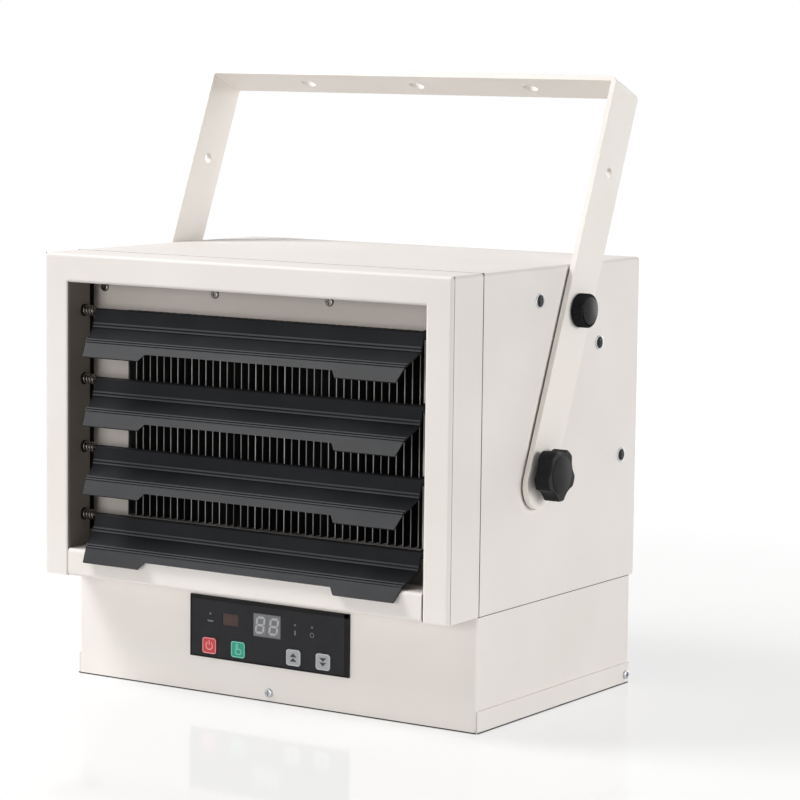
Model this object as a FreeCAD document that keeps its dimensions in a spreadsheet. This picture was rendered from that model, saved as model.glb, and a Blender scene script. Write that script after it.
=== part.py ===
import FreeCAD, Part
import math
import os
import re

import Sketcher

Vector = FreeCAD.Vector

# Driving sizes of the heater, in millimetres and degrees.
# The frame: +X to the right as seen from the front, +Y to the rear, +Z up, bottom of the base at zero.
SIZES = {
    # Sheet-metal cabinet.
    "cab_width": 360.0,
    "cab_top": 326.0,
    "base_height": 84.0,
    "base_depth": 220.0,
    "frame_depth": 40.0,
    "rear_overhang": 4.0,
    "sheet": 1.2,
    "bend_radius": 2.5,
    "seam_gap": 0.6,
    "fit_gap": 0.3,
    "overrun": 5.0,
    "base_inset": 1.0,
    "tray_height": 16.0,
    "tray_tab_width": 40.0,
    # Front frame round the louvres.
    "stile_width": 22.2,
    "rail_height": 21.3,
    "low_rail_height": 20.5,
    "return_depth": 26.0,
    "rear_lip": 10.0,
    "rail_seam": 0.2,
    # Baffle plate and its window.
    "baffle_flange": 14.0,
    "window_sill": 43.0,
    "window_head": 43.0,
    "window_side": 48.0,
    "baffle_screw_drop": 27.0,
    "baffle_screw_inner": 51.0,
    "baffle_screw_side": 26.0,
    # Punched rear panel.
    "rear_flange": 12.0,
    "inlet_radius": 98.0,
    "inlet_web": 12.0,
    "slot_pitch": 12.0,
    "slot_height": 6.0,
    # Louvres, drawn about the pivot at their rest angle.
    "louvre_setback": 19.5,
    "louvre_drop": 43.4,
    "louvre_pitch": 51.4,
    "louvre_end_gap": 12.3,
    "blade_thick": 1.4,
    "ridge_rise": 0.9,
    "ridge_width": 1.2,
    "upper_ridge_y": -4.5,
    "upper_ridge_z": -11.7,
    "lower_ridge_y": -19.0,
    "lower_ridge_z": -21.8,
    "lip_y": -26.0,
    "lip_z": -31.6,
    "lower_ridge_inset": 4.5,
    "lip_inset": 8.5,
    "lip_tab": 50.0,
    "lip_shoulder": 4.0,
    "lip_trim": 4.5,
    "port_radius": 2.2,
    # Louvre pivot screws and springs.
    "pin_radius": 1.5,
    "pin_grip": 16.0,
    "pin_tail": 3.5,
    "pin_head_radius": 3.6,
    "pin_head_height": 2.0,
    "spring_radius": 3.4,
    "spring_wire": 1.0,
    "spring_turns": 2.5,
    "spring_gap": 0.3,
    "spacer_radius": 3.6,
    # Hanging bracket.
    "pivot_inset": 147.0,
    "pivot_rise": 94.0,
    "lock_step_angle": 22.5,
    "lock_radius": 124.0,
    "strap_width": 37.0,
    "strap_thick": 4.0,
    "strap_gap": 1.2,
    "strap_reach": 300.0,
    "strap_tail": 26.5,
    "strap_bend": 1.5,
    "end_flat": 0.1,
    "bar_hole_radius": 6.0,
    "bar_hole_pitch": 102.0,
    "leg_hole_radius": 4.0,
    "leg_hole_reach": 230.5,
    # Knobs.
    "turn_gap": 0.3,
    "stud_radius": 4.0,
    "stud_length": 15.0,
    "run_fit": 0.05,
    "star_radius": 19.2,
    "star_height": 12.5,
    "star_hub_radius": 9.0,
    "star_hub_height": 3.5,
    "star_lobe_angle": 53.0,
    "scallop_radius": 16.0,
    "scallop_reach": 32.0,
    "star_chamfer": 1.6,
    "lock_knob_radius": 12.5,
    "lock_knob_height": 9.5,
    "lock_knob_flute": 0.6,
    "lock_stud_radius": 3.0,
    "lock_stud_length": 3.8,
    "insert_flange_radius": 5.5,
    "insert_flange": 0.7,
    "insert_radius": 3.9,
    "insert_bore": 2.6,
    "insert_length": 9.0,
    "pivot_nut_radius": 8.0,
    "pivot_nut_height": 6.0,
    "washer_radius": 12.0,
    # Heating element.
    "fin_pitch": 6.5,
    "fin_thick": 0.8,
    "fin_depth": 44.0,
    "fin_gap": 2.0,
    "fin_margin": 5.0,
    "tube_radius": 5.0,
    "tube_pitch": 52.0,
    "tube_overhang": 18.0,
    "terminal_radius": 2.0,
    "terminal_length": 14.0,
    "element_plate_gap": 2.0,
    "element_flange": 10.0,
    "cutout_radius": 8.0,
    "cutout_body_radius": 6.0,
    "cutout_flange": 4.0,
    "cutout_length": 10.0,
    # Fan and motor.
    "motor_setback": 54.0,
    "core_width": 76.0,
    "core_depth": 34.0,
    "coil_width": 46.0,
    "coil_depth": 50.0,
    "coil_height": 26.0,
    "coil_drop": 16.0,
    "bridge_width": 62.0,
    "bridge_depth": 10.0,
    "bridge_height": 24.0,
    "boss_radius": 14.0,
    "boss_height": 6.0,
    "shaft_radius": 4.0,
    "shaft_depth": 12.0,
    "bracket_sheet": 1.5,
    "bracket_inset": 70.0,
    "bracket_foot": 18.0,
    "bracket_width": 40.0,
    "motor_screw_x": 34.0,
    "fan_setback": 28.0,
    "fan_radius": 94.0,
    "hub_radius": 22.0,
    "hub_length": 24.0,
    "blade_root_radius": 18.0,
    "blade_root_width": 22.0,
    "blade_chord": 72.0,
    "blade_pitch": 24.0,
    "blade_fold": 12.0,
    "fan_sheet": 1.5,
    # Control panel on the base.
    "fascia_width": 143.2,
    "fascia_height": 46.8,
    "fascia_low": 27.2,
    "fascia_thick": 1.6,
    "fascia_side_border": 8.0,
    "fascia_edge_border": 1.5,
    "key_rise": 9.3,
    "key_width": 12.5,
    "key_height": 12.0,
    "key_corner": 1.6,
    "key_gap": 0.4,
    "key_proud": 0.8,
    "key_flange": 1.2,
    "key_flange_lip": 1.2,
    "key_stem": 5.0,
    "key_stem_length": 2.6,
    "power_key_inset": 18.2,
    "heat_key_inset": 44.6,
    "up_key_inset": 48.6,
    "down_key_inset": 22.3,
    "key_travel": 0.8,
    "key_overtravel": 0.2,
    "display_shift": -1.5,
    "display_rise": 29.8,
    "display_width": 25.0,
    "display_height": 17.6,
    "receiver_inset": 37.0,
    "receiver_rise": 30.5,
    "receiver_width": 14.5,
    "receiver_height": 9.2,
    "receiver_depth": 5.0,
    "lens_gap": 0.15,
    "lens_recess": 0.3,
    "board_set": 10.0,
    "board_thick": 1.6,
    "board_edge": 1.6,
    "switch_size": 6.0,
    "post_radius": 2.6,
    "post_inset": 4.2,
    # Supply side, inside the base.
    "power_board_inset": 29.0,
    "power_board_setback": 70.0,
    "power_board_width": 100.0,
    "power_board_depth": 80.0,
    "power_post_height": 9.0,
    "relay_width": 20.0,
    "relay_depth": 30.0,
    "relay_height": 16.0,
    "relay_pitch": 30.0,
    "block_inset": 53.0,
    "block_width": 66.0,
    "block_depth": 24.0,
    "block_height": 20.0,
    "block_setback": 20.0,
    "block_well": 12.0,
    "block_well_depth": 8.0,
    "block_wall": 7.5,
    "gland_inset": 79.0,
    "gland_rise": 44.0,
    "gland_radius": 9.8,
    "gland_nut_radius": 14.0,
    "gland_nut_height": 6.0,
    "gland_dome_radius": 11.0,
    "gland_dome_height": 16.0,
    "gland_bore": 6.5,
    "gland_inner_length": 8.0,
    # Screw heads.
    "pan_radius": 3.4,
    "pan_height": 2.0,
    "hex_radius": 4.0,
    "hex_height": 2.2,
    "tray_screw_z": 7.0,
    "tray_screw_back": 5.0,
    "panel_screw_inset": 14.0,
    "base_screw_inset": 14.0,
}

# Counts that repeat a piece.
LOUVRES = (1, 2, 3, 4)
LOCK_STEPS = (0, 1, 2, 4)
REST_STEP = 1
TUBES = (1, 2, 3)
LOBE_COUNT = 5
BLADE_COUNT = 5
RELAY_COUNT = 3
POLE_COUNT = 3
FLUTE_COUNT = 24
FLAT_COUNT = 12
LOBE_TURNS = (-9, 0, 9)
SCALLOP_TURNS = (-21, -12, 0, 12, 21)
SIDES = {"right": 1, "left": -1}

# Formulas that many pieces share.
HALF = "cab_width / 2"
INNER = "(cab_width / 2 - sheet - fit_gap)"
BASE_HALF = "(cab_width / 2 - base_inset)"
SEAM = "(-base_depth / 2)"
FRONT = "(-base_depth / 2 - frame_depth)"
BASE_REAR = "(base_depth / 2)"
REAR = "(base_depth / 2 + rear_overhang)"
OPENING = "(cab_width / 2 - stile_width)"
FAN_Z = "((base_height + cab_top) / 2)"
FAN_Y = "(base_depth / 2 + rear_overhang - fan_setback)"
MOTOR_Y = "(base_depth / 2 + rear_overhang - motor_setback)"
MOTOR_ARM = "(cab_width / 2 - bracket_inset)"
PIVOT_Y = "(base_depth / 2 + rear_overhang - pivot_inset)"
PIVOT_Z = "(base_height + pivot_rise)"
LOUVRE_HALF = "(cab_width / 2 - stile_width - louvre_end_gap)"
LOUVRE_Y = "(-base_depth / 2 - frame_depth + louvre_setback)"
WINDOW_HALF = "(cab_width / 2 - window_side)"
WINDOW_LOW = "(base_height + window_sill)"
WINDOW_HIGH = "(cab_top - window_head)"
WINDOW_HEIGHT = "(cab_top - window_head - base_height - window_sill)"
GLAND = ("(cab_width / 2 - base_inset - gland_inset)", "gland_rise")
DISPLAY_Z = "(fascia_low + display_rise)"
RECEIVER_X = "(-fascia_width / 2 + receiver_inset)"
RECEIVER_Z = "(fascia_low + receiver_rise)"
BOARD_X = "(-cab_width / 2 + base_inset + power_board_inset)"
POWER_Y = "(-base_depth / 2 + power_board_setback)"
BLOCK_X = "(cab_width / 2 - base_inset - block_inset - block_width)"
KEY_Z = "(fascia_low + key_rise)"
KEY_X = {
    "power": "(-fascia_width / 2 + power_key_inset)",
    "heat": "(-fascia_width / 2 + heat_key_inset)",
    "up": "(fascia_width / 2 - up_key_inset)",
    "down": "(fascia_width / 2 - down_key_inset)",
}
STRAP_INNER = "(cab_width / 2 + strap_gap)"
STRAP_OUTER = "(cab_width / 2 + strap_gap + strap_thick)"
FIN_Y = "(-base_depth / 2 + sheet + fin_gap)"
BOARD_Y = "(-base_depth / 2 + board_set)"
OVER = "overrun"

doc = FreeCAD.newDocument("garage_heater")
sheet = doc.addObject("Spreadsheet::Sheet", "Sizes")
for row, (alias, value) in enumerate(SIZES.items(), start=1):
    sheet.set(f"A{row}", alias)
    sheet.set(f"B{row}", str(value))
    sheet.setAlias(f"B{row}", alias)
doc.recompute()

pieces = []


def size(alias):
    """Read one driving size from the sheet."""
    return float(sheet.get(alias))


def bound(formula):
    """Write a formula of size names as an expression on the sheet."""
    return re.sub(r"[a-z][a-z_]+", lambda hit: name_on_sheet(hit.group()), formula)


def name_on_sheet(word):
    """Put the sheet's name before a size name and leave other words alone."""
    return f"Sizes.{word}" if word in SIZES else word


def bind(thing, **formulas):
    """Bind properties of a document object to formulas."""
    for name, formula in formulas.items():
        thing.setExpression(name, bound(formula))


def place(thing, corner):
    """Bind the base point of an object's placement to three formulas."""
    for axis, formula in zip("xyz", corner):
        thing.setExpression(f".Placement.Base.{axis}", bound(formula))


def keep(label, thing):
    """Give a finished piece its name and put it on the list of pieces."""
    thing.Label = label
    pieces.append(thing)
    return thing


# Part primitives and booleans.
TURNS = {
    "x": FreeCAD.Rotation(Vector(0, 1, 0), 90),
    "y": FreeCAD.Rotation(Vector(1, 0, 0), -90),
    "z": FreeCAD.Rotation(),
}


def box(name, corner, extent):
    """A block from its low corner and its three lengths."""
    block = doc.addObject("Part::Box", name)
    bind(block, Length=extent[0], Width=extent[1], Height=extent[2])
    place(block, corner)
    return block


def wide_box(name, half, low, extent):
    """A block centred on the mid plane, from its half width and its low Y and Z."""
    return box(name, (f"-{half}", low[0], low[1]), (f"2 * {half}", extent[0], extent[1]))


def rod(name, axis, start, radius, length):
    """A cylinder along one axis from its start point."""
    cylinder = doc.addObject("Part::Cylinder", name)
    bind(cylinder, Radius=radius, Height=length)
    cylinder.Placement = FreeCAD.Placement(Vector(), TURNS[axis])
    place(cylinder, start)
    return cylinder


def hexagon(name, axis, start, radius, length, sides=6):
    """A prism with flat sides along one axis from its start point."""
    prism = doc.addObject("Part::Prism", name)
    prism.Polygon = sides
    bind(prism, Circumradius=radius, Height=length)
    prism.Placement = FreeCAD.Placement(Vector(), TURNS[axis])
    place(prism, start)
    return prism


def bar(name, axis, start, radius, length):
    """A small round bar, drawn with flats inside its radius."""
    return hexagon(name, axis, start, radius, length, FLAT_COUNT)


def bar_hole(name, axis, start, radius, length):
    """A tool for a small round hole, drawn with flats outside its radius."""
    return hexagon(name, axis, start, around(radius), length, FLAT_COUNT)


def group(name, members):
    """Separate solids kept together under one name."""
    compound = doc.addObject("Part::Compound", name)
    compound.Links = members
    return compound


def cut(name, base, *tools):
    """One object less one or more others."""
    result = doc.addObject("Part::Cut", name)
    result.Base = base
    result.Tool = tools[0] if len(tools) == 1 else group(f"{name}_tools", list(tools))
    return result


def fuse(name, *members):
    """Several touching objects as one solid."""
    result = doc.addObject("Part::MultiFuse", name)
    result.Shapes = list(members)
    return result


def straight_edges(shape, axis, test):
    """Numbers of the straight edges along an axis whose middle passes a test."""
    numbers = []
    for number, edge in enumerate(shape.Edges, start=1):
        if edge.Curve.TypeId != "Part::GeomLine":
            continue
        along = edge.Vertexes[1].Point - edge.Vertexes[0].Point
        if abs(getattr(along, axis)) < 0.999 * along.Length:
            continue
        if test(edge.CenterOfMass):
            numbers.append(number)
    return numbers


def near(value, target):
    """Whether two coordinates agree to a hundredth of a millimetre."""
    return abs(value - target) < 0.01


def rounded(name, base, radius, *choices):
    """Round the straight edges that the choices of axis and test pick out."""
    doc.recompute()
    fillet = doc.addObject("Part::Fillet", name)
    fillet.Base = base
    numbers = [number for axis, test in choices for number in straight_edges(base.Shape, axis, test)]
    fillet.Edges = [(number, radius, radius) for number in numbers]
    return fillet


def bevelled(name, base, setback):
    """Bevel the four corners of a block that faces forward."""
    doc.recompute()
    chamfer = doc.addObject("Part::Chamfer", name)
    chamfer.Base = base
    numbers = straight_edges(base.Shape, "y", lambda mid: True)
    chamfer.Edges = [(number, setback, setback) for number in numbers]
    return chamfer


# Part design bodies, sketches and features.
def new_body(name):
    """An empty part design body."""
    return doc.addObject("PartDesign::Body", name)


def origin_plane(body, role):
    """One origin plane or axis of a body, by its role."""
    return next(item for item in body.Origin.OriginFeatures if item.Role == role)


def new_sketch(body, name, plane, offset="0"):
    """A sketch on one of the body's own origin planes, moved along its normal."""
    sketch = body.newObject("Sketcher::SketchObject", name)
    sketch.AttachmentSupport = [(origin_plane(body, plane), "")]
    sketch.MapMode = "FlatFace"
    sketch.setExpression(".AttachmentOffset.Base.z", bound(offset))
    return sketch


def draw_polygon(sketch, points):
    """A closed outline whose corners are bound to pairs of formulas."""
    first = sketch.GeometryCount
    count = len(points)
    step = 2 * math.pi / count
    reach = size("cab_width") / 4
    ring = [Vector(reach * math.cos(step * turn), reach * math.sin(step * turn), 0) for turn in range(count)]
    for turn in range(count):
        sketch.addGeometry(Part.LineSegment(ring[turn], ring[(turn + 1) % count]), False)
    for turn in range(count):
        after = first + (turn + 1) % count
        sketch.addConstraint(Sketcher.Constraint("Coincident", first + turn, 2, after, 1))
    for turn, (across, up) in enumerate(points):
        bind_point(sketch, first + turn, 1, ring[turn], across, up)


def draw_circle(sketch, across, up, radius):
    """A circle whose centre and radius are bound to formulas."""
    circle = sketch.addGeometry(Part.Circle(Vector(1, 1, 0), Vector(0, 0, 1), 2), False)
    bind_point(sketch, circle, 3, Vector(1, 1, 0), across, up)
    number = sketch.addConstraint(Sketcher.Constraint("Radius", circle, 2))
    sketch.setExpression(f"Constraints[{number}]", bound(radius))


def draw_flats(sketch, across, up, radius, sides):
    """An outline of equal flats round a bound centre, with its first corner to the right."""
    step = f"360deg / {sides}"
    draw_polygon(sketch, [
        (f"{across} + ({radius}) * cos({turn} * {step})", f"{up} + ({radius}) * sin({turn} * {step})")
        for turn in range(sides)
    ])


def around(radius):
    """Formula of the corner radius of the flats that clear a round bar."""
    return f"({radius}) / cos(180deg / {FLAT_COUNT})"


def bind_point(sketch, geometry, point, start, across, up):
    """Hold a sketch point at two formulas from the origin."""
    for kind, value, formula in (("DistanceX", start.x, across), ("DistanceY", start.y, up)):
        number = sketch.addConstraint(Sketcher.Constraint(kind, -1, 1, geometry, point, value))
        sketch.setExpression(f"Constraints[{number}]", bound(formula))


def pad(body, sketch, length, side="One side", reverse=False):
    """Extrude a sketch into the body."""
    feature = body.newObject("PartDesign::Pad", f"{sketch.Name}_pad")
    feature.Profile = sketch
    feature.SideType = side
    feature.Reversed = reverse
    bind(feature, Length=length)
    return feature


def pocket_through(body, sketch):
    """Cut a sketch through the whole body, both ways from its plane."""
    doc.recompute()
    before = body.Shape.Volume
    feature = body.newObject("PartDesign::Pocket", f"{sketch.Name}_pocket")
    feature.Profile = sketch
    feature.Type = "ThroughAll"
    feature.SideType = "Symmetric"
    check_removed(feature, before)
    return feature


def pocket_depth(body, sketch, depth, reverse=False):
    """Cut a sketch to a depth below its plane."""
    doc.recompute()
    before = body.Shape.Volume
    feature = body.newObject("PartDesign::Pocket", f"{sketch.Name}_pocket")
    feature.Profile = sketch
    feature.Reversed = reverse
    bind(feature, Length=depth)
    check_removed(feature, before)
    return feature


def check_removed(feature, before):
    """Stop if a pocket took nothing away."""
    doc.recompute()
    if feature.Shape.Volume >= before - 1e-6:
        raise ValueError(f"{feature.Name} removed nothing")


def polar(body, features, count):
    """Repeat features evenly round the body's Z axis."""
    doc.recompute()
    pattern = body.newObject("PartDesign::PolarPattern", f"{body.Name}_ring")
    pattern.Originals = features
    pattern.Axis = (origin_plane(body, "Z_Axis"), [""])
    pattern.Angle = 360
    pattern.Occurrences = count
    body.Tip = pattern
    return pattern


def dress(body, kind, amount, *choices):
    """Fillet or chamfer the straight edges that the choices of axis and test pick out."""
    doc.recompute()
    base = body.Tip
    numbers = [number for axis, test in choices for number in straight_edges(base.Shape, axis, test)]
    feature = body.newObject(f"PartDesign::{kind}", f"{body.Name}_{kind}{len(body.Group)}")
    feature.Base = (base, [f"Edge{number}" for number in numbers])
    bind(feature, **{"Radius" if kind == "Fillet" else "Size": amount})
    return feature


def chamfer_rim(body, height, size_name):
    """Chamfer every edge of the flat face at one height of the body."""
    doc.recompute()
    base = body.Tip
    edges = enumerate(base.Shape.Edges, start=1)
    rim = [f"Edge{number}" for number, edge in edges if lies_at(edge, height)]
    feature = body.newObject("PartDesign::Chamfer", f"{body.Name}_rim")
    feature.Base = (base, rim)
    bind(feature, Size=size_name)
    return feature


def lies_at(edge, height):
    """Whether an edge lies flat at one height."""
    return near(edge.BoundBox.ZMin, height) and near(edge.BoundBox.ZMax, height)


def lock_point(step):
    """Formulas of a tilt position on the side panel, one step of angle after another."""
    angle = f"{step} * lock_step_angle * 1deg"
    return f"{PIVOT_Y} + lock_radius * sin({angle})", f"{PIVOT_Z} + lock_radius * cos({angle})"


def louvre_height(number):
    """Formula of a louvre's pivot height, the first at the top."""
    return f"(cab_top - louvre_drop - {number - 1} * louvre_pitch)"


# Upper shell: top and sides in one bent sheet, with holes for the bracket's pivots and locks.
def upper_shell():
    body = new_body("upper_shell")
    outline = new_sketch(body, "shell_outline", "XZ_Plane", f"-{REAR}")
    inside = "(cab_width / 2 - sheet)"
    draw_polygon(outline, [
        (f"-{HALF}", "base_height"),
        (f"-{HALF}", "cab_top"),
        (HALF, "cab_top"),
        (HALF, "base_height"),
        (inside, "base_height"),
        (inside, "cab_top - sheet"),
        (f"-{inside}", "cab_top - sheet"),
        (f"-{inside}", "base_height"),
    ])
    pad(body, outline, "base_depth + rear_overhang - seam_gap")
    outer = size("cab_width") / 2
    top = size("cab_top")
    dress(body, "Fillet", "bend_radius",
          ("y", lambda mid: near(abs(mid.x), outer) and near(mid.z, top)))
    dress(body, "Fillet", "bend_radius - sheet",
          ("y", lambda mid: near(abs(mid.x), outer - size("sheet")) and near(mid.z, top - size("sheet"))))
    holes = new_sketch(body, "shell_holes", "YZ_Plane")
    draw_circle(holes, PIVOT_Y, PIVOT_Z, "stud_radius + run_fit")
    for step in LOCK_STEPS:
        draw_flats(holes, *lock_point(step), "insert_radius + run_fit", 6)
    pocket_through(body, holes)
    keep("upper_shell", body)


# Front frame: stiles and top rail as one hollow channel with return flanges round the opening.
def front_frame():
    blank = wide_box("frame_blank", HALF, (FRONT, "base_height"), ("frame_depth", "cab_top - base_height"))
    opening = wide_box("frame_opening", OPENING, (f"{FRONT} - {OVER}", f"base_height - {OVER}"),
                       (f"frame_depth + 2 * {OVER}", f"cab_top - rail_height - base_height + {OVER}"))
    arch = cut("frame_arch", blank, opening)
    half = size("cab_width") / 2
    inner = half - size("stile_width")
    front = -size("base_depth") / 2 - size("frame_depth")
    top = size("cab_top")
    soffit = top - size("rail_height")
    bends = rounded(
        "frame_bends", arch, size("bend_radius"),
        ("z", lambda mid: near(mid.y, front) and near(abs(mid.x), half)),
        ("z", lambda mid: near(mid.y, front) and near(abs(mid.x), inner)),
        ("x", lambda mid: near(mid.y, front) and (near(mid.z, top) or near(mid.z, soffit))),
        ("y", lambda mid: near(mid.z, top) and near(abs(mid.x), half)),
    )
    hollow = wide_box("frame_hollow", f"({HALF} - sheet)", (f"{FRONT} + sheet", "base_height + sheet"),
                      ("frame_depth - 2 * sheet", "cab_top - base_height - 2 * sheet"))
    core = wide_box("frame_core", f"({OPENING} + sheet)", (f"{FRONT} - {OVER}", f"base_height - {OVER}"),
                    (f"frame_depth + 2 * {OVER}", f"cab_top - rail_height + sheet - base_height + {OVER}"))
    channel = cut("frame_channel", hollow, core)
    back = wide_box("frame_back", f"({HALF} - sheet - rear_lip)",
                    (f"{FRONT} + return_depth", f"base_height - {OVER}"),
                    (f"frame_depth - return_depth + {OVER}",
                     f"cab_top - sheet - rear_lip - base_height + {OVER}"))
    pin_half = f"({OPENING} + stile_width / 2)"
    pin_holes = [
        bar_hole(f"frame_pin_hole_{number}", "x", (f"-{pin_half}", LOUVRE_Y, louvre_height(number)),
                 "pin_radius + run_fit", f"2 * {pin_half}")
        for number in LOUVRES
    ]
    keep("front_frame", cut("front_frame", bends, channel, back, *pin_holes))


# Lower rail of the front: a separate channel between the stiles.
def front_bottom_rail():
    half = f"({OPENING} - rail_seam)"
    blank = wide_box("rail_blank", half, (FRONT, "base_height"), ("frame_depth", "low_rail_height"))
    front = -size("base_depth") / 2 - size("frame_depth")
    bends = rounded("rail_bends", blank, size("bend_radius"), ("x", lambda mid: near(mid.y, front)))
    hollow = wide_box("rail_hollow", f"({half} + {OVER})", (f"{FRONT} + sheet", "base_height + sheet"),
                      ("frame_depth - 2 * sheet", "low_rail_height - 2 * sheet"))
    back = wide_box("rail_back", f"({half} + {OVER})",
                    (f"{FRONT} + return_depth", "base_height + sheet + rear_lip"),
                    (f"frame_depth - return_depth + {OVER}", f"low_rail_height - sheet - rear_lip + {OVER}"))
    keep("front_bottom_rail", cut("front_bottom_rail", bends, hollow, back))


def flanged_panel(name, low_y, depth, face_forward):
    """A panel with a flange all round, which fits inside the upper shell."""
    height = "cab_top - base_height - 2 * sheet - fit_gap"
    blank = wide_box(f"{name}_blank", INNER, (low_y, "base_height + sheet"), (depth, height))
    half = size("cab_width") / 2 - size("sheet") - size("fit_gap")
    top = size("cab_top") - size("sheet") - size("fit_gap")
    corners = rounded(f"{name}_corners", blank, size("bend_radius"),
                      ("y", lambda mid: near(abs(mid.x), half) and near(mid.z, top)))
    start = f"{low_y} + sheet" if face_forward else f"{low_y} - {OVER}"
    hollow = wide_box(f"{name}_hollow", f"({INNER} - sheet)", (start, "base_height + 2 * sheet"),
                      (f"{depth} - sheet + {OVER}", f"{height} - 2 * sheet"))
    return corners, hollow


# Baffle plate behind the louvres, with the window in front of the heating element.
def baffle_plate():
    corners, hollow = flanged_panel("baffle", SEAM, "baffle_flange", True)
    window = wide_box("baffle_window", WINDOW_HALF, (f"{SEAM} - {OVER}", WINDOW_LOW),
                      (f"sheet + 2 * {OVER}", WINDOW_HEIGHT))
    keep("baffle_plate", cut("baffle_plate", corners, hollow, window))


# Rear panel with rows of slots that fill a circle in front of the fan.
def rear_panel():
    corners, hollow = flanged_panel("rear", f"({REAR} - rear_flange)", "rear_flange", False)
    rows = int((size("inlet_radius") - size("slot_height")) / size("slot_pitch"))
    slots = []
    for row in range(-rows, rows + 1):
        rise = f"({abs(row)} * slot_pitch + slot_height / 2)"
        length = f"(sqrt(inlet_radius * inlet_radius - {rise} * {rise}) - inlet_web / 2)"
        low = f"{FAN_Z} + {row} * slot_pitch - slot_height / 2"
        for side, start in (("left", f"-inlet_web / 2 - {length}"), ("right", "inlet_web / 2")):
            slots.append(box(f"rear_slot_{side}_{row + rows}", (start, f"{REAR} - sheet - {OVER}", low),
                             (length, f"sheet + 2 * {OVER}", "slot_height")))
    keep("rear_panel", cut("rear_panel", corners, hollow, *slots))


# Deck between the air duct and the control base.
def deck_plate():
    keep("deck_plate", wide_box("deck_plate", INNER, (f"{SEAM} + seam_gap", "base_height"),
                                ("base_depth + rear_overhang - seam_gap", "sheet")))


# Control base: front and sides in one bent sheet, with the window behind the control panel.
def base_shell():
    body = new_body("base_shell")
    plan = new_sketch(body, "base_plan", "XY_Plane")
    inside = f"({BASE_HALF} - sheet)"
    draw_polygon(plan, [
        (f"-{BASE_HALF}", BASE_REAR),
        (f"-{BASE_HALF}", SEAM),
        (BASE_HALF, SEAM),
        (BASE_HALF, BASE_REAR),
        (inside, BASE_REAR),
        (inside, f"{SEAM} + sheet"),
        (f"-{inside}", f"{SEAM} + sheet"),
        (f"-{inside}", BASE_REAR),
    ])
    pad(body, plan, "base_height")
    half = size("cab_width") / 2 - size("base_inset")
    front = -size("base_depth") / 2
    thick = size("sheet")
    dress(body, "Fillet", "bend_radius",
          ("z", lambda mid: near(abs(mid.x), half) and near(mid.y, front)))
    dress(body, "Fillet", "bend_radius - sheet",
          ("z", lambda mid: near(abs(mid.x), half - thick) and near(mid.y, front + thick)))
    floor_line = new_sketch(body, "base_floor_line", "XY_Plane")
    draw_polygon(floor_line, [
        (f"-{HALF}", f"{SEAM} + sheet"),
        (HALF, f"{SEAM} + sheet"),
        (HALF, f"{BASE_REAR} + {OVER}"),
        (f"-{HALF}", f"{BASE_REAR} + {OVER}"),
    ])
    pocket_depth(body, floor_line, "sheet", reverse=True)
    window = new_sketch(body, "base_window", "XZ_Plane")
    across = "(fascia_width / 2 - fascia_side_border)"
    low = "fascia_low + fascia_edge_border"
    high = "fascia_low + fascia_height - fascia_edge_border"
    draw_polygon(window, [(f"-{across}", low), (across, low), (across, high), (f"-{across}", high)])
    pocket_through(body, window)
    keep("base_shell", body)


# Rear wall of the base, with the hole for the supply gland.
def base_rear_panel():
    half = f"({BASE_HALF} - sheet - fit_gap)"
    plate = wide_box("base_rear_blank", half, (f"{BASE_REAR} - sheet", "sheet"),
                     ("sheet", "base_height - sheet"))
    hole = bar_hole("base_gland_hole", "y", (GLAND[0], f"{BASE_REAR} - sheet - {OVER}", GLAND[1]),
                    "gland_radius + run_fit", f"sheet + 2 * {OVER}")
    keep("base_rear_panel", cut("base_rear_panel", plate, hole))


# Bottom tray: floor with side flanges outside the base walls and a tab behind the front screw.
def bottom_tray():
    half = f"({BASE_HALF} + sheet)"
    blank = wide_box("tray_blank", half, (f"{SEAM} + sheet", "0"), ("base_depth - sheet", "tray_height"))
    edge = size("cab_width") / 2 - size("base_inset") + size("sheet")
    bends = rounded("tray_bends", blank, size("sheet"),
                    ("y", lambda mid: near(abs(mid.x), edge) and near(mid.z, 0)))
    hollow = wide_box("tray_hollow", BASE_HALF, (f"{SEAM} - {OVER}", "sheet"),
                      (f"base_depth + 2 * {OVER}", f"tray_height + {OVER}"))
    floor = cut("tray_floor", bends, hollow)
    tab = wide_box("tray_tab", "(tray_tab_width / 2)", (f"{SEAM} + sheet", "0"), ("sheet", "tray_height"))
    keep("bottom_tray", fuse("bottom_tray", floor, tab))


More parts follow.
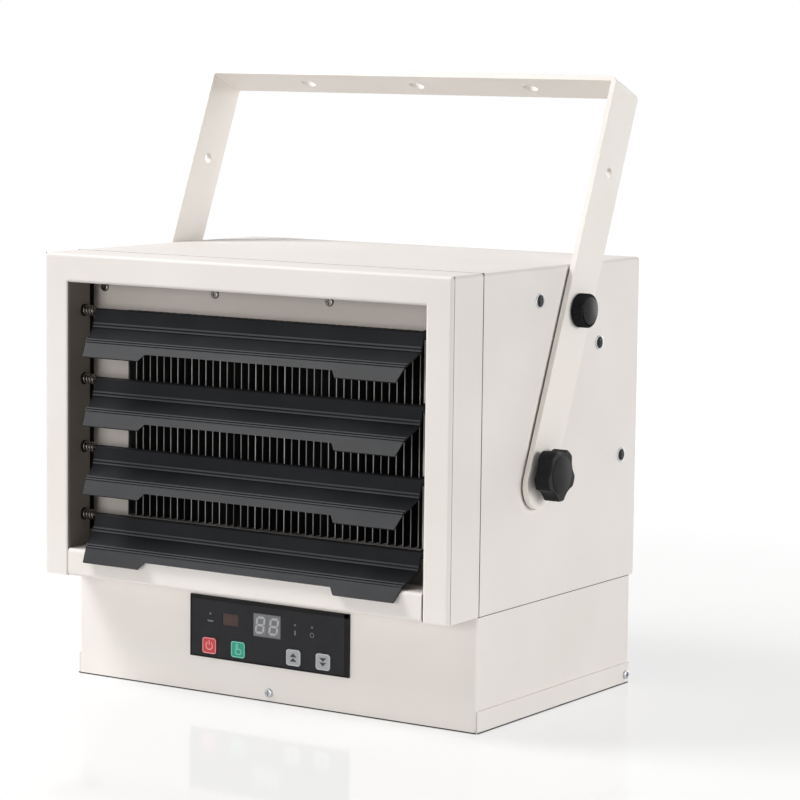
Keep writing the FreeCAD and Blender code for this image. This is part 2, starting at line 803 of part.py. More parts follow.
# Louvre: blade with a round top bead for its pivot screws, two raised ridges and a trimmed lip.
def louvre(number):
    body = new_body(f"louvre_{number}")
    profile = new_sketch(body, f"louvre_{number}_profile", "YZ_Plane")
    draw_polygon(profile, blade_outline())
    pad(body, profile, f"2 * {LOUVRE_HALF}", side="Symmetric")
    port = new_sketch(body, f"louvre_{number}_port", "YZ_Plane")
    draw_circle(port, "0", "0", "port_radius")
    pad(body, port, f"2 * {LOUVRE_HALF}", side="Symmetric")
    trim = new_sketch(body, f"louvre_{number}_trim", "XZ_Plane")
    for side in ("", "-"):
        draw_polygon(trim, [
            (f"{side}{LOUVRE_HALF}", "upper_ridge_z"),
            (f"{side}({LOUVRE_HALF} - lower_ridge_inset)", "lower_ridge_z"),
            (f"{side}({LOUVRE_HALF} - lip_inset)", f"lip_z - {OVER}"),
            (f"{side}({LOUVRE_HALF} + {OVER})", f"lip_z - {OVER}"),
            (f"{side}({LOUVRE_HALF} + {OVER})", "upper_ridge_z"),
        ])
    notch = f"({LOUVRE_HALF} - lip_inset - lip_tab)"
    draw_polygon(trim, [
        (f"-{notch}", f"lip_z - {OVER}"),
        (f"-{notch}", "lip_z"),
        (f"-{notch} + lip_shoulder", "lip_z + lip_trim"),
        (f"{notch} - lip_shoulder", "lip_z + lip_trim"),
        (notch, "lip_z"),
        (notch, f"lip_z - {OVER}"),
    ])
    pocket_through(body, trim)
    body.Placement = FreeCAD.Placement()
    place(body, ("0", LOUVRE_Y, louvre_height(number)))
    keep(f"louvre_{number}", body)


def blade_outline():
    """Corners of the blade's section: outer face with its ridges going down, inner face coming back."""
    top = ("-port_radius * 0.9", "0")
    upper = ("upper_ridge_y", "upper_ridge_z")
    lower = ("lower_ridge_y", "lower_ridge_z")
    lip = ("lip_y", "lip_z")
    outer = [top]
    for start, ridge in ((top, upper), (upper, lower)):
        outer += ridge_corners(start, ridge)
    outer.append(lip)
    inner = [
        offset_point(lower, lip, "1"),
        offset_corner(upper, lower, lip),
        offset_corner(top, upper, lower),
        offset_point(top, upper, "0"),
    ]
    return outer + inner


def run_of(start, end):
    """Formulas of the vector between two points and of its length."""
    across = f"({end[0]} - ({start[0]}))"
    up = f"({end[1]} - ({start[1]}))"
    return across, up, f"sqrt({across} * {across} + {up} * {up})"


def ridge_corners(start, end):
    """Two raised beads with a groove between them at the lower end of a band, square to the band."""
    across, up, length = run_of(start, end)
    lift = (f"{up} / {length} * ridge_rise", f"-{across} / {length} * ridge_rise")
    corners = []
    steps = ((3, False), (3, True), (2, True), (2, False), (1, False), (1, True), (0, True), (0, False))
    for step, raised in steps:
        foot = [f"{spot} - {run} / {length} * {step} * ridge_width" for spot, run in zip(end, (across, up))]
        corners.append(tuple(f"{spot} + {rise}" for spot, rise in zip(foot, lift)) if raised else tuple(foot))
    return corners


def offset_point(start, end, share):
    """The point behind a band's start or end, one blade thickness in."""
    across, up, length = run_of(start, end)
    return (f"{start[0]} + {across} * {share} - {up} / {length} * blade_thick",
            f"{start[1]} + {up} * {share} + {across} / {length} * blade_thick")


def offset_corner(before, corner, after):
    """The inner corner of a bend, one blade thickness from both bands."""
    one = run_of(before, corner)
    two = run_of(corner, after)
    unit = [(f"({run[0]} / {run[2]})", f"({run[1]} / {run[2]})") for run in (one, two)]
    dot = f"({unit[0][0]} * {unit[1][0]} + {unit[0][1]} * {unit[1][1]})"
    scale = f"blade_thick / (1 + {dot})"
    return (f"{corner[0]} - ({unit[0][1]} + {unit[1][1]}) * {scale}",
            f"{corner[1]} + ({unit[0][0]} + {unit[1][0]}) * {scale}")


# Pivot screws of one louvre: through the stiles' return flanges, pressed into the ends of its top bead.
def louvre_pins(number):
    screws = []
    for side, sign in SIDES.items():
        name = f"louvre_{number}_pin_{side}"
        length = "(louvre_end_gap + pin_grip + sheet + pin_tail)"
        start = f"{LOUVRE_HALF} - pin_grip" if sign > 0 else f"-({LOUVRE_HALF} - pin_grip) - {length}"
        shank = bar(f"{name}_shank", "x", (start, LOUVRE_Y, louvre_height(number)), "pin_radius", length)
        tip = f"({OPENING} + sheet + pin_tail)"
        head_x = tip if sign > 0 else f"-{tip} - pin_head_height"
        head = hexagon(f"{name}_head", "x", (head_x, LOUVRE_Y, louvre_height(number)),
                       "pin_head_radius", "pin_head_height")
        screws.append(fuse(name, shank, head))
    keep(f"louvre_{number}_pins", group(f"louvre_{number}_pins", screws))


def biarc(start, start_way, end, end_way):
    """Two arcs that leave one point and reach another along given directions."""
    chord = end - start
    ways = start_way + end_way
    square = ways.dot(ways) - 4
    middle = chord.dot(ways)
    reach = (middle - math.sqrt(middle ** 2 - square * chord.dot(chord))) / square
    first = start + start_way * reach
    second = end - end_way * reach
    joint = (first + second) * 0.5
    return [arc_through(start, first, joint), arc_through(joint, second, end)]


def arc_through(start, corner, end):
    """The arc from one point to another whose end tangents meet at a corner."""
    chord_middle = (start + end) * 0.5
    height = (chord_middle - corner).Length
    tangent = (start - corner).Length
    radius = tangent * (start - chord_middle).Length / height
    inward = (chord_middle - corner) * (1 / height)
    crown = corner + inward * (math.hypot(tangent, radius) - radius)
    return Part.Arc(start, crown, end).toShape()


def coil(start_x, end_x, centre):
    """One wire coil along X with straight ends, from a six-sided wire."""
    radius = size("spring_radius")
    wire = size("spring_wire")
    halves = round(size("spring_turns") * 2)
    rise = (end_x - start_x) / halves
    slope = rise / math.pi

    def station(half):
        angle = half * math.pi
        spot = Vector(start_x + rise * half, radius * math.cos(angle), radius * math.sin(angle))
        way = Vector(slope, -radius * math.sin(angle), radius * math.cos(angle)).normalize()
        return centre + spot, way

    first, first_way = station(0)
    last, last_way = station(halves)
    edges = [Part.makeLine(first - first_way * wire, first)]
    for half in range(halves):
        edges += biarc(*station(half), *station(half + 1))
    edges.append(Part.makeLine(last, last + last_way * wire))
    path = Part.Wire(edges)
    corners = [Vector(wire / 2 * math.cos(turn * math.pi / 3), wire / 2 * math.sin(turn * math.pi / 3), 0)
               for turn in range(7)]
    section = Part.makePolygon(corners)
    facing = FreeCAD.Rotation(Vector(0, 0, 1), first_way)
    section.Placement = FreeCAD.Placement(first - first_way * wire, facing)
    shell = Part.BRepOffsetAPI.MakePipeShell(path)
    shell.add(section)
    shell.build()
    shell.makeSolid()
    return shell.shape(), path


def least_gap(path, wire):
    """The least clear distance between one turn of a wire and the next."""
    count = 240
    points = path.discretize(Number=count)
    skip = int(count * 2.5 * wire * math.pi / path.Length)
    return min((points[one] - points[two]).Length
               for one in range(count) for two in range(one + skip, count)) - wire


# Springs on the left pivot screws, between the return flange and the blade ends.
def pivot_springs():
    wire = size("spring_wire")
    opening = size("cab_width") / 2 - size("stile_width")
    outer = opening - wire / 2 - size("spring_gap")
    inner = opening - size("louvre_end_gap") + wire / 2 + size("spring_gap")
    pivot_y = -size("base_depth") / 2 - size("frame_depth") + size("louvre_setback")
    coils = []
    gaps = []
    for number in LOUVRES:
        height = size("cab_top") - size("louvre_drop") - (number - 1) * size("louvre_pitch")
        solid, path = coil(-outer, -inner, Vector(0, pivot_y, height))
        coils.append(solid)
        gaps.append(least_gap(path, wire))
    print(f"pivot springs: least gap between turns {min(gaps):.2f} mm")
    springs = doc.addObject("Part::Feature", "pivot_springs")
    springs.Shape = Part.makeCompound(coils)
    springs.Placement = FreeCAD.Placement()
    keep("pivot_springs", springs)


# Spacer sleeves on the right pivot screws, which the springs push the blades against.
def pivot_spacers():
    sleeves = []
    for number in LOUVRES:
        spot = (LOUVRE_Y, louvre_height(number))
        blank = bar(f"spacer_blank_{number}", "x", (f"{LOUVRE_HALF} + spring_gap", *spot), "spacer_radius",
                    "louvre_end_gap - spring_gap")
        bore = bar_hole(f"spacer_bore_{number}", "x", (f"{LOUVRE_HALF} - {OVER}", *spot),
                        "pin_radius + run_fit", f"louvre_end_gap + 2 * {OVER}")
        sleeves.append(cut(f"spacer_{number}", blank, bore))
    keep("pivot_spacers", group("pivot_spacers", sleeves))


# Hanging bracket: a strap bent into a U, hung on the two pivots and leaning to the rear.
def hanger_bracket():
    body = new_body("hanger_bracket")
    outline = new_sketch(body, "strap_outline", "XZ_Plane")
    draw_polygon(outline, [
        (f"-{STRAP_OUTER}", "-strap_tail"),
        (f"-{STRAP_OUTER}", "strap_reach"),
        (STRAP_OUTER, "strap_reach"),
        (STRAP_OUTER, "-strap_tail"),
        (STRAP_INNER, "-strap_tail"),
        (STRAP_INNER, "strap_reach - strap_thick"),
        (f"-{STRAP_INNER}", "strap_reach - strap_thick"),
        (f"-{STRAP_INNER}", "-strap_tail"),
    ])
    pad(body, outline, "strap_width", side="Symmetric")
    tail = -size("strap_tail")
    reach = size("strap_reach")
    thick = size("strap_thick")
    outer = size("cab_width") / 2 + size("strap_gap") + thick
    dress(body, "Fillet", "strap_width / 2 - end_flat", ("x", lambda mid: near(mid.z, tail)))
    dress(body, "Fillet", "strap_bend + strap_thick",
          ("y", lambda mid: near(abs(mid.x), outer) and near(mid.z, reach)))
    dress(body, "Fillet", "strap_bend",
          ("y", lambda mid: near(abs(mid.x), outer - thick) and near(mid.z, reach - thick)))
    leg_holes = new_sketch(body, "leg_holes", "YZ_Plane")
    draw_flats(leg_holes, "0", "0", around("stud_radius + run_fit"), FLAT_COUNT)
    draw_flats(leg_holes, "0", "lock_radius", around("lock_stud_radius + run_fit"), FLAT_COUNT)
    draw_circle(leg_holes, "0", "leg_hole_reach", "leg_hole_radius")
    pocket_through(body, leg_holes)
    bar_holes = new_sketch(body, "bar_holes", "XY_Plane")
    for step in (-1, 0, 1):
        draw_circle(bar_holes, f"{step} * bar_hole_pitch", "0", "bar_hole_radius")
    pocket_through(body, bar_holes)
    lean = FreeCAD.Rotation(Vector(-1, 0, 0), REST_STEP * size("lock_step_angle"))
    body.Placement = FreeCAD.Placement(Vector(), lean)
    place(body, ("0", PIVOT_Y, PIVOT_Z))
    keep("hanger_bracket", body)


def face_side(body, sign, across, up):
    """Stand a knob, drawn along Z, on the strap's outer face at one side."""
    turn = FreeCAD.Rotation(Vector(0, sign, 0), Vector(0, 0, 1), Vector(sign, 0, 0), "ZXY")
    body.Placement = FreeCAD.Placement(Vector(), turn)
    place(body, (f"{sign} * ({STRAP_OUTER} + turn_gap)", across, up))


# Star knob: five lobes between scallops on a round hub, with a moulded-in stud.
def star_knob(side, sign):
    name = f"star_knob_{side}"
    body = new_body(name)
    head = new_sketch(body, f"{name}_head", "XY_Plane", "star_hub_height")
    corners = []
    for lobe in range(LOBE_COUNT):
        corners += lobe_corners(lobe)
    draw_polygon(head, corners)
    pad(body, head, "star_height")
    chamfer_rim(body, size("star_hub_height") + size("star_height"), "star_chamfer")
    hub = new_sketch(body, f"{name}_hub", "XY_Plane")
    draw_flats(hub, "0", "0", "star_hub_radius", FLAT_COUNT)
    pad(body, hub, "star_hub_height")
    stud = new_sketch(body, f"{name}_stud", "XY_Plane")
    draw_circle(stud, "0", "0", "stud_radius")
    pad(body, stud, "stud_length", reverse=True)
    face_side(body, sign, PIVOT_Y, PIVOT_Z)
    keep(name, body)


def lobe_corners(lobe):
    """Corners of one lobe and of the scallop after it, on the true circles of both."""
    middle = f"(star_lobe_angle + {lobe} * 360 / {LOBE_COUNT})"
    corners = [
        (f"star_radius * cos(({middle} + {turn}) * 1deg)", f"star_radius * sin(({middle} + {turn}) * 1deg)")
        for turn in LOBE_TURNS
    ]
    for turn in SCALLOP_TURNS:
        angle = f"(({middle} + 180 / {LOBE_COUNT} + {turn}) * 1deg)"
        rise = f"(scallop_reach * sin({turn} * 1deg))"
        reach = (f"(scallop_reach * cos({turn} * 1deg)"
                 f" - sqrt(scallop_radius * scallop_radius - {rise} * {rise}))")
        corners.append((f"{reach} * cos({angle})", f"{reach} * sin({angle})"))
    return corners


# Lock knob: a fluted thumbscrew whose stud is backed off into the strap.
def lock_knob(side, sign):
    name = f"lock_knob_{side}"
    body = new_body(name)
    head = new_sketch(body, f"{name}_head", "XY_Plane")
    corners = []
    for flute in range(2 * FLUTE_COUNT):
        radius = "lock_knob_radius" if flute % 2 else "(lock_knob_radius - lock_knob_flute)"
        angle = f"{flute} * 180deg / {FLUTE_COUNT}"
        corners.append((f"{radius} * cos({angle})", f"{radius} * sin({angle})"))
    draw_polygon(head, corners)
    pad(body, head, "lock_knob_height")
    stud = new_sketch(body, f"{name}_stud", "XY_Plane")
    draw_flats(stud, "0", "0", "lock_stud_radius", FLAT_COUNT)
    pad(body, stud, "lock_stud_length", reverse=True)
    face_side(body, sign, *lock_point(REST_STEP))
    keep(name, body)


def turned_hexagon(name, start, radius, length):
    """A hexagon prism along X with its corners towards the front and the rear."""
    prism = hexagon(name, "x", start, radius, length)
    prism.Placement.Rotation = FreeCAD.Rotation(Vector(1, 0, 0), 90).multiply(TURNS["x"])
    return prism


# Six-sided threaded inserts in the side panels at the tilt positions.
def angle_lock_nuts():
    inserts = []
    for side, sign in SIDES.items():
        for step in LOCK_STEPS:
            name = f"insert_{side}_{step}"
            across, up = lock_point(step)
            face = f"{HALF}" if sign > 0 else f"-{HALF} - insert_flange"
            inner = f"{HALF} - insert_length" if sign > 0 else f"-{HALF}"
            deep = f"{HALF} - insert_length - {OVER}" if sign > 0 else f"-{HALF} - {OVER}"
            flange = bar(f"{name}_flange", "x", (face, across, up), "insert_flange_radius", "insert_flange")
            barrel = turned_hexagon(f"{name}_barrel", (inner, across, up), "insert_radius", "insert_length")
            bore = turned_hexagon(f"{name}_bore", (deep, across, up), "insert_bore",
                                  f"insert_length + 2 * {OVER}")
            inserts.append(cut(name, fuse(f"{name}_blank", flange, barrel), bore))
    keep("angle_lock_nuts", group("angle_lock_nuts", inserts))


# Weld nuts behind the side panels for the star knobs, and the washers under the strap.
def pivot_hardware():
    nuts = []
    washers = []
    for side, sign in SIDES.items():
        inside = f"{HALF} - sheet - pivot_nut_height" if sign > 0 else f"-{HALF} + sheet"
        bore_start = f"{HALF} - sheet - pivot_nut_height - {OVER}" if sign > 0 else f"-{HALF} - {OVER}"
        outside = HALF if sign > 0 else f"-{HALF} - strap_gap + turn_gap"
        bore = bar_hole(f"pivot_bore_{side}", "x", (bore_start, PIVOT_Y, PIVOT_Z),
                        "stud_radius + run_fit", f"sheet + pivot_nut_height + 2 * {OVER}")
        nut = hexagon(f"pivot_nut_blank_{side}", "x", (inside, PIVOT_Y, PIVOT_Z),
                      "pivot_nut_radius", "pivot_nut_height")
        washer = bar(f"pivot_washer_blank_{side}", "x", (outside, PIVOT_Y, PIVOT_Z),
                     "washer_radius", "strap_gap - turn_gap")
        nuts.append(cut(f"pivot_nut_{side}", nut, bore))
        washers.append(cut(f"pivot_washer_{side}", washer, bore))
    keep("pivot_nuts", group("pivot_nuts", nuts))
    keep("pivot_washers", group("pivot_washers", washers))


# Fins of the heating element: thin upright plates across the baffle's window.
def fin_pack():
    room = size("cab_width") - 2 * size("window_side") - 2 * size("fin_margin")
    steps = int(room / size("fin_pitch"))
    fins = [
        box(f"fin_{number}", (f"({number} - {steps} / 2) * fin_pitch - fin_thick / 2", FIN_Y, WINDOW_LOW),
            ("fin_thick", "fin_depth", WINDOW_HEIGHT))
        for number in range(steps + 1)
    ]
    keep("fin_pack", group("fin_pack", fins))


def tube_height(number):
    """Formula of a heating tube's height, the first at the top."""
    middle = (TUBES[0] + TUBES[-1]) / 2
    return f"({WINDOW_LOW} + {WINDOW_HIGH}) / 2 + ({middle} - {number}) * tube_pitch"


# Heating tube with a terminal stud at each end.
def heating_tube(number):
    name = f"heating_tube_{number}"
    half = f"({WINDOW_HALF} + tube_overhang)"
    middle_y = f"{FIN_Y} + fin_depth / 2"
    sheath = bar(f"{name}_sheath", "x", (f"-{half}", middle_y, tube_height(number)),
                 "tube_radius", f"2 * {half}")
    studs = bar(f"{name}_studs", "x", (f"-{half} - terminal_length", middle_y, tube_height(number)),
                "terminal_radius", f"2 * {half} + 2 * terminal_length")
    keep(name, fuse(name, sheath, studs))


# End plate of the element: carries the tubes and is fixed to the back of the baffle by its flange.
def element_plate(side, sign):
    name = f"element_plate_{side}"
    face = f"({WINDOW_HALF} + element_plate_gap)"
    web_x = face if sign > 0 else f"-{face} - sheet"
    flange_x = face if sign > 0 else f"-{face} - element_flange"
    low_y = f"{SEAM} + sheet"
    web = box(f"{name}_web", (web_x, low_y, WINDOW_LOW),
              ("sheet", "fin_gap + fin_depth", WINDOW_HEIGHT))
    flange = box(f"{name}_flange", (flange_x, low_y, WINDOW_LOW),
                 ("element_flange", "sheet", WINDOW_HEIGHT))
    holes = [
        bar_hole(f"{name}_hole_{number}", "x", (f"-{HALF}", f"{FIN_Y} + fin_depth / 2", tube_height(number)),
                 "tube_radius + run_fit", "cab_width")
        for number in TUBES
    ]
    keep(name, cut(name, fuse(f"{name}_blank", web, flange), *holes))


# Limit thermostat on the outside of the right end plate.
def thermal_cutout():
    face = f"{WINDOW_HALF} + element_plate_gap + sheet"
    middle_y = f"{FIN_Y} + fin_depth / 2"
    height = f"({WINDOW_LOW} + {WINDOW_HIGH}) / 2 + tube_pitch / 2"
    flange = bar("cutout_flange", "x", (face, middle_y, height), "cutout_radius", "cutout_flange")
    can = bar("cutout_can", "x", (face, middle_y, height), "cutout_body_radius", "cutout_length")
    keep("thermal_cutout", fuse("thermal_cutout", flange, can))


def face_rear(body, along):
    """Stand a piece that is drawn along Z on the fan's axis, pointing to the rear."""
    body.Placement = FreeCAD.Placement(Vector(), TURNS["y"])
    place(body, ("0", along, FAN_Z))


# Fan motor: laminated core with its coil below, a bearing bridge at each end and a bored boss at the rear.
def fan_motor():
    rear_bridge = centred_box("motor_rear_bridge", f"{MOTOR_Y} - bridge_depth",
                              ("bridge_width", "bridge_depth", "bridge_height"))
    core = centred_box("motor_core", f"{MOTOR_Y} - bridge_depth - core_depth",
                       ("core_width", "core_depth", "core_width"))
    front_bridge = centred_box("motor_front_bridge", f"{MOTOR_Y} - 2 * bridge_depth - core_depth",
                               ("bridge_width", "bridge_depth", "bridge_height"))
    coil_y = f"{MOTOR_Y} - bridge_depth - core_depth / 2 - coil_depth / 2"
    coil_z = f"{FAN_Z} - core_width / 2 - coil_drop"
    winding = wide_box("motor_coil", "(coil_width / 2)", (coil_y, coil_z), ("coil_depth", "coil_height"))
    boss = bar("motor_boss", "y", ("0", MOTOR_Y, FAN_Z), "boss_radius", "boss_height")
    bore = rod("motor_bore", "y", ("0", f"{MOTOR_Y} - shaft_depth", FAN_Z), "shaft_radius + run_fit",
               f"shaft_depth + boss_height + {OVER}")
    blank = fuse("motor_blank", rear_bridge, core, front_bridge, winding, boss)
    keep("fan_motor", cut("fan_motor", blank, bore))


def centred_box(name, low_y, extent):
    """A block centred on the fan's axis, from its front face and its lengths."""
    return box(name, (f"-({extent[0]}) / 2", low_y, f"{FAN_Z} - ({extent[2]}) / 2"), extent)


# Motor bracket: a hat-shaped strap from the motor's face back to the rear panel.
def motor_bracket():
    body = new_body("motor_bracket")
    plan = new_sketch(body, "bracket_plan", "XY_Plane", FAN_Z)
    foot_y = f"({REAR} - sheet)"
    inner = f"({MOTOR_ARM} - bracket_sheet)"
    tip = f"({MOTOR_ARM} + bracket_foot)"
    right = [
        (MOTOR_ARM, MOTOR_Y),
        (MOTOR_ARM, f"{foot_y} - bracket_sheet"),
        (tip, f"{foot_y} - bracket_sheet"),
        (tip, foot_y),
        (inner, foot_y),
        (inner, f"{MOTOR_Y} + bracket_sheet"),
    ]
    left = [(f"-{across}", up) for across, up in reversed(right)]
    draw_polygon(plan, right + left)
    pad(body, plan, "bracket_width", side="Symmetric")
    hole = new_sketch(body, "bracket_boss_hole", "XZ_Plane")
    draw_flats(hole, "0", FAN_Z, around("boss_radius + fit_gap"), FLAT_COUNT)
    pocket_through(body, hole)
    keep("motor_bracket", body)


# Fan: hub with folded blades that widen outwards, trimmed to a circle.
def fan_blade():
    body = new_body("fan_blade")
    hub = new_sketch(body, "fan_hub", "XY_Plane")
    draw_circle(hub, "0", "0", "hub_radius")
    pad(body, hub, "hub_length", side="Symmetric")
    section = new_sketch(body, "blade_section", "YZ_Plane", "blade_root_radius")
    draw_polygon(section, blade_strip())
    blade = pad(body, section, f"fan_radius + {OVER} - blade_root_radius")
    flanks = new_sketch(body, "blade_flanks", "XY_Plane")
    for side in ("", "-"):
        draw_polygon(flanks, [
            ("blade_root_radius", f"{side}blade_root_width / 2"),
            (f"fan_radius + {OVER}", f"{side}blade_chord / 2"),
            ("blade_root_radius", f"{side}blade_chord / 2"),
        ])
    polar(body, [blade, pocket_through(body, flanks)], BLADE_COUNT)
    trim = new_sketch(body, "fan_trim", "XY_Plane")
    draw_circle(trim, "0", "0", "fan_radius")
    draw_circle(trim, "0", "0", "2 * fan_radius")
    pocket_through(body, trim)
    face_rear(body, FAN_Y)
    keep("fan_blade", body)


def blade_strip():
    """Corners of the blade's section: three folds across the chord, one sheet thick."""
    start = "-blade_chord * (0.5 + cos(blade_fold * 1deg)) / 3"
    across = f"{start} * cos(blade_pitch * 1deg)"
    up = f"{start} * sin(blade_pitch * 1deg)"
    face = [(across, up)]
    for turn in (1, 0, -1):
        angle = f"((blade_pitch + {turn} * blade_fold) * 1deg)"
        across = f"{across} + blade_chord / 3 * cos({angle})"
        up = f"{up} + blade_chord / 3 * sin({angle})"
        face.append((across, up))
    return face + [(across, f"{up} + fan_sheet") for across, up in reversed(face)]


# Motor shaft, from the bearing bore to the middle of the fan hub, where it is pressed in.
def motor_shaft():
    start = f"{MOTOR_Y} - shaft_depth + fit_gap"
    length = "motor_setback - fan_setback + shaft_depth - fit_gap"
    keep("motor_shaft", bar("motor_shaft", "y", ("0", start, FAN_Z), "shaft_radius", length))


def panel_window(name, across, up, width, height, radius=None):
    """A tool that cuts an upright window through the control panel."""
    corner = (f"{across} - ({width}) / 2", f"{SEAM} - fascia_thick - {OVER}", f"{up} - ({height}) / 2")
    tool = box(name, corner, (width, f"fascia_thick + 2 * {OVER}", height))
    if radius is None:
        return tool
    return bevelled(f"{name}_corners", tool, radius)


# Control panel: a flat moulding with windows for the display, the receiver and the four keys.
def control_fascia():
    plate = wide_box("fascia_plate", "(fascia_width / 2)", (f"{SEAM} - fascia_thick", "fascia_low"),
                     ("fascia_thick", "fascia_height"))
    windows = [
        panel_window("display_window", "display_shift", DISPLAY_Z, "display_width", "display_height"),
        panel_window("receiver_window_hole", RECEIVER_X, RECEIVER_Z, "receiver_width", "receiver_height"),
    ]
    for key in KEY_X:
        windows.append(panel_window(f"{key}_key_window", KEY_X[key], KEY_Z, "key_width + 2 * key_gap",
                                    "key_height + 2 * key_gap", size("key_corner") + size("key_gap")))
    keep("control_fascia", cut("control_fascia", plate, *windows))


# Key: rounded cap through the panel, a flange that holds it in and a stem down to its switch.
def control_key(key):
    name = f"{key}_button"
    across = KEY_X[key]
    front = f"({SEAM} - fascia_thick - key_proud)"
    flange_y = f"({SEAM} + turn_gap)"
    blank = box(f"{name}_blank", (f"{across} - key_width / 2", front, f"{KEY_Z} - key_height / 2"),
                ("key_width", "key_proud + fascia_thick + turn_gap", "key_height"))
    cap = bevelled(f"{name}_cap", blank, size("key_corner"))
    width = "(key_width + 2 * key_flange_lip)"
    height = "(key_height + 2 * key_flange_lip)"
    flange = box(f"{name}_flange", (f"{across} - {width} / 2", flange_y, f"{KEY_Z} - {height} / 2"),
                 (width, "key_flange", height))
    stem_corner = (f"{across} - key_stem / 2", f"{flange_y} + key_flange", f"{KEY_Z} - key_stem / 2")
    stem = box(f"{name}_stem", stem_corner, ("key_stem", "key_stem_length", "key_stem"))
    keep(name, fuse(name, cap, flange, stem))


# Display, receiver lens, circuit board with key switches, and the posts that carry the board.
def control_electronics():
    face_y = f"({SEAM} - fascia_thick + lens_recess)"
    width = "(display_width - 2 * lens_gap)"
    height = "(display_height - 2 * lens_gap)"
    keep("display_module", box(
        "display_module", (f"display_shift - {width} / 2", face_y, f"{DISPLAY_Z} - {height} / 2"),
        (width, f"{BOARD_Y} - {face_y}", height)))
    keep("receiver_window", box(
        "receiver_window",
        (f"{RECEIVER_X} - receiver_width / 2 + lens_gap", face_y,
         f"{RECEIVER_Z} - receiver_height / 2 + lens_gap"),
        ("receiver_width - 2 * lens_gap", "receiver_depth", "receiver_height - 2 * lens_gap")))
    keep("control_board", wide_box("control_board", "(fascia_width / 2 - board_edge)",
                                   (BOARD_Y, "fascia_low + board_edge"),
                                   ("board_thick", "fascia_height - 2 * board_edge")))
    stem_end = f"({SEAM} + turn_gap + key_flange + key_stem_length + key_travel + key_overtravel)"
    switches = [
        box(f"{key}_switch", (f"{KEY_X[key]} - switch_size / 2", stem_end, f"{KEY_Z} - switch_size / 2"),
            ("switch_size", f"{BOARD_Y} - {stem_end}", "switch_size"))
        for key in KEY_X
    ]
    keep("key_switches", group("key_switches", switches))
    posts = []
    for side in ("", "-"):
        for height in ("fascia_low + post_inset", "fascia_low + fascia_height - post_inset"):
            spot = (f"{side}(fascia_width / 2 - post_inset)", f"{SEAM} + sheet", height)
            posts.append(hexagon(f"post_{len(posts)}", "y", spot, "post_radius", "board_set - sheet"))
    keep("board_posts", group("board_posts", posts))


# Power board on its posts, with relays that switch the element.
def power_electronics():
    board_z = "(sheet + power_post_height)"
    keep("power_board", box("power_board", (BOARD_X, POWER_Y, board_z),
                            ("power_board_width", "power_board_depth", "board_thick")))
    posts = []
    for across in (f"{BOARD_X} + post_inset", f"{BOARD_X} + power_board_width - post_inset"):
        for along in (f"{POWER_Y} + post_inset", f"{POWER_Y} + power_board_depth - post_inset"):
            posts.append(hexagon(f"power_post_{len(posts)}", "z", (across, along, "sheet"),
                                 "post_radius", "power_post_height"))
    keep("power_board_posts", group("power_board_posts", posts))
    first = f"({BOARD_X} + power_board_width / 2 - {RELAY_COUNT - 1} / 2 * relay_pitch - relay_width / 2)"
    relays = [
        box(f"relay_{number}",
            (f"{first} + {number} * relay_pitch",
             f"{POWER_Y} + (power_board_depth - relay_depth) / 2", f"{board_z} + board_thick"),
            ("relay_width", "relay_depth", "relay_height"))
        for number in range(RELAY_COUNT)
    ]
    keep("relays", group("relays", relays))


# Terminal block by the supply gland, with one open well for each pole.
def terminal_block():
    low_y = f"({BASE_REAR} - sheet - block_setback - block_depth)"
    body = box("block_body", (BLOCK_X, low_y, "sheet"), ("block_width", "block_depth", "block_height"))
    pitch = f"((block_width - 2 * block_wall - block_well) / {POLE_COUNT - 1})"
    wells = [
        box(f"block_well_{number}",
            (f"{BLOCK_X} + block_wall + {number} * {pitch}", f"{low_y} + block_wall / 2",
             "sheet + block_height - block_well_depth"),
            ("block_well", "block_depth - block_wall", f"block_well_depth + {OVER}"))
        for number in range(POLE_COUNT)
    ]
    keep("terminal_block", cut("terminal_block", body, *wells))


# Supply gland through the rear of the base: hexagon, domed nut and inner thread, with an open bore.
def cable_gland():
    start = f"({BASE_REAR} - sheet - gland_inner_length)"
    nut = hexagon("gland_nut", "y", (GLAND[0], BASE_REAR, GLAND[1]), "gland_nut_radius", "gland_nut_height")
    neck = bar("gland_neck", "y", (GLAND[0], start, GLAND[1]), "gland_radius",
               "gland_inner_length + sheet + gland_nut_height")
    dome = bar("gland_dome", "y", (GLAND[0], f"{BASE_REAR} + gland_nut_height", GLAND[1]),
               "gland_dome_radius", "gland_dome_height - gland_nut_height")
    bore = bar("gland_bore", "y", (GLAND[0], f"{start} - {OVER}", GLAND[1]), "gland_bore",
               f"gland_inner_length + sheet + gland_dome_height + 2 * {OVER}")
    keep("cable_gland", cut("cable_gland", fuse("gland_blank", nut, neck, dome), bore))


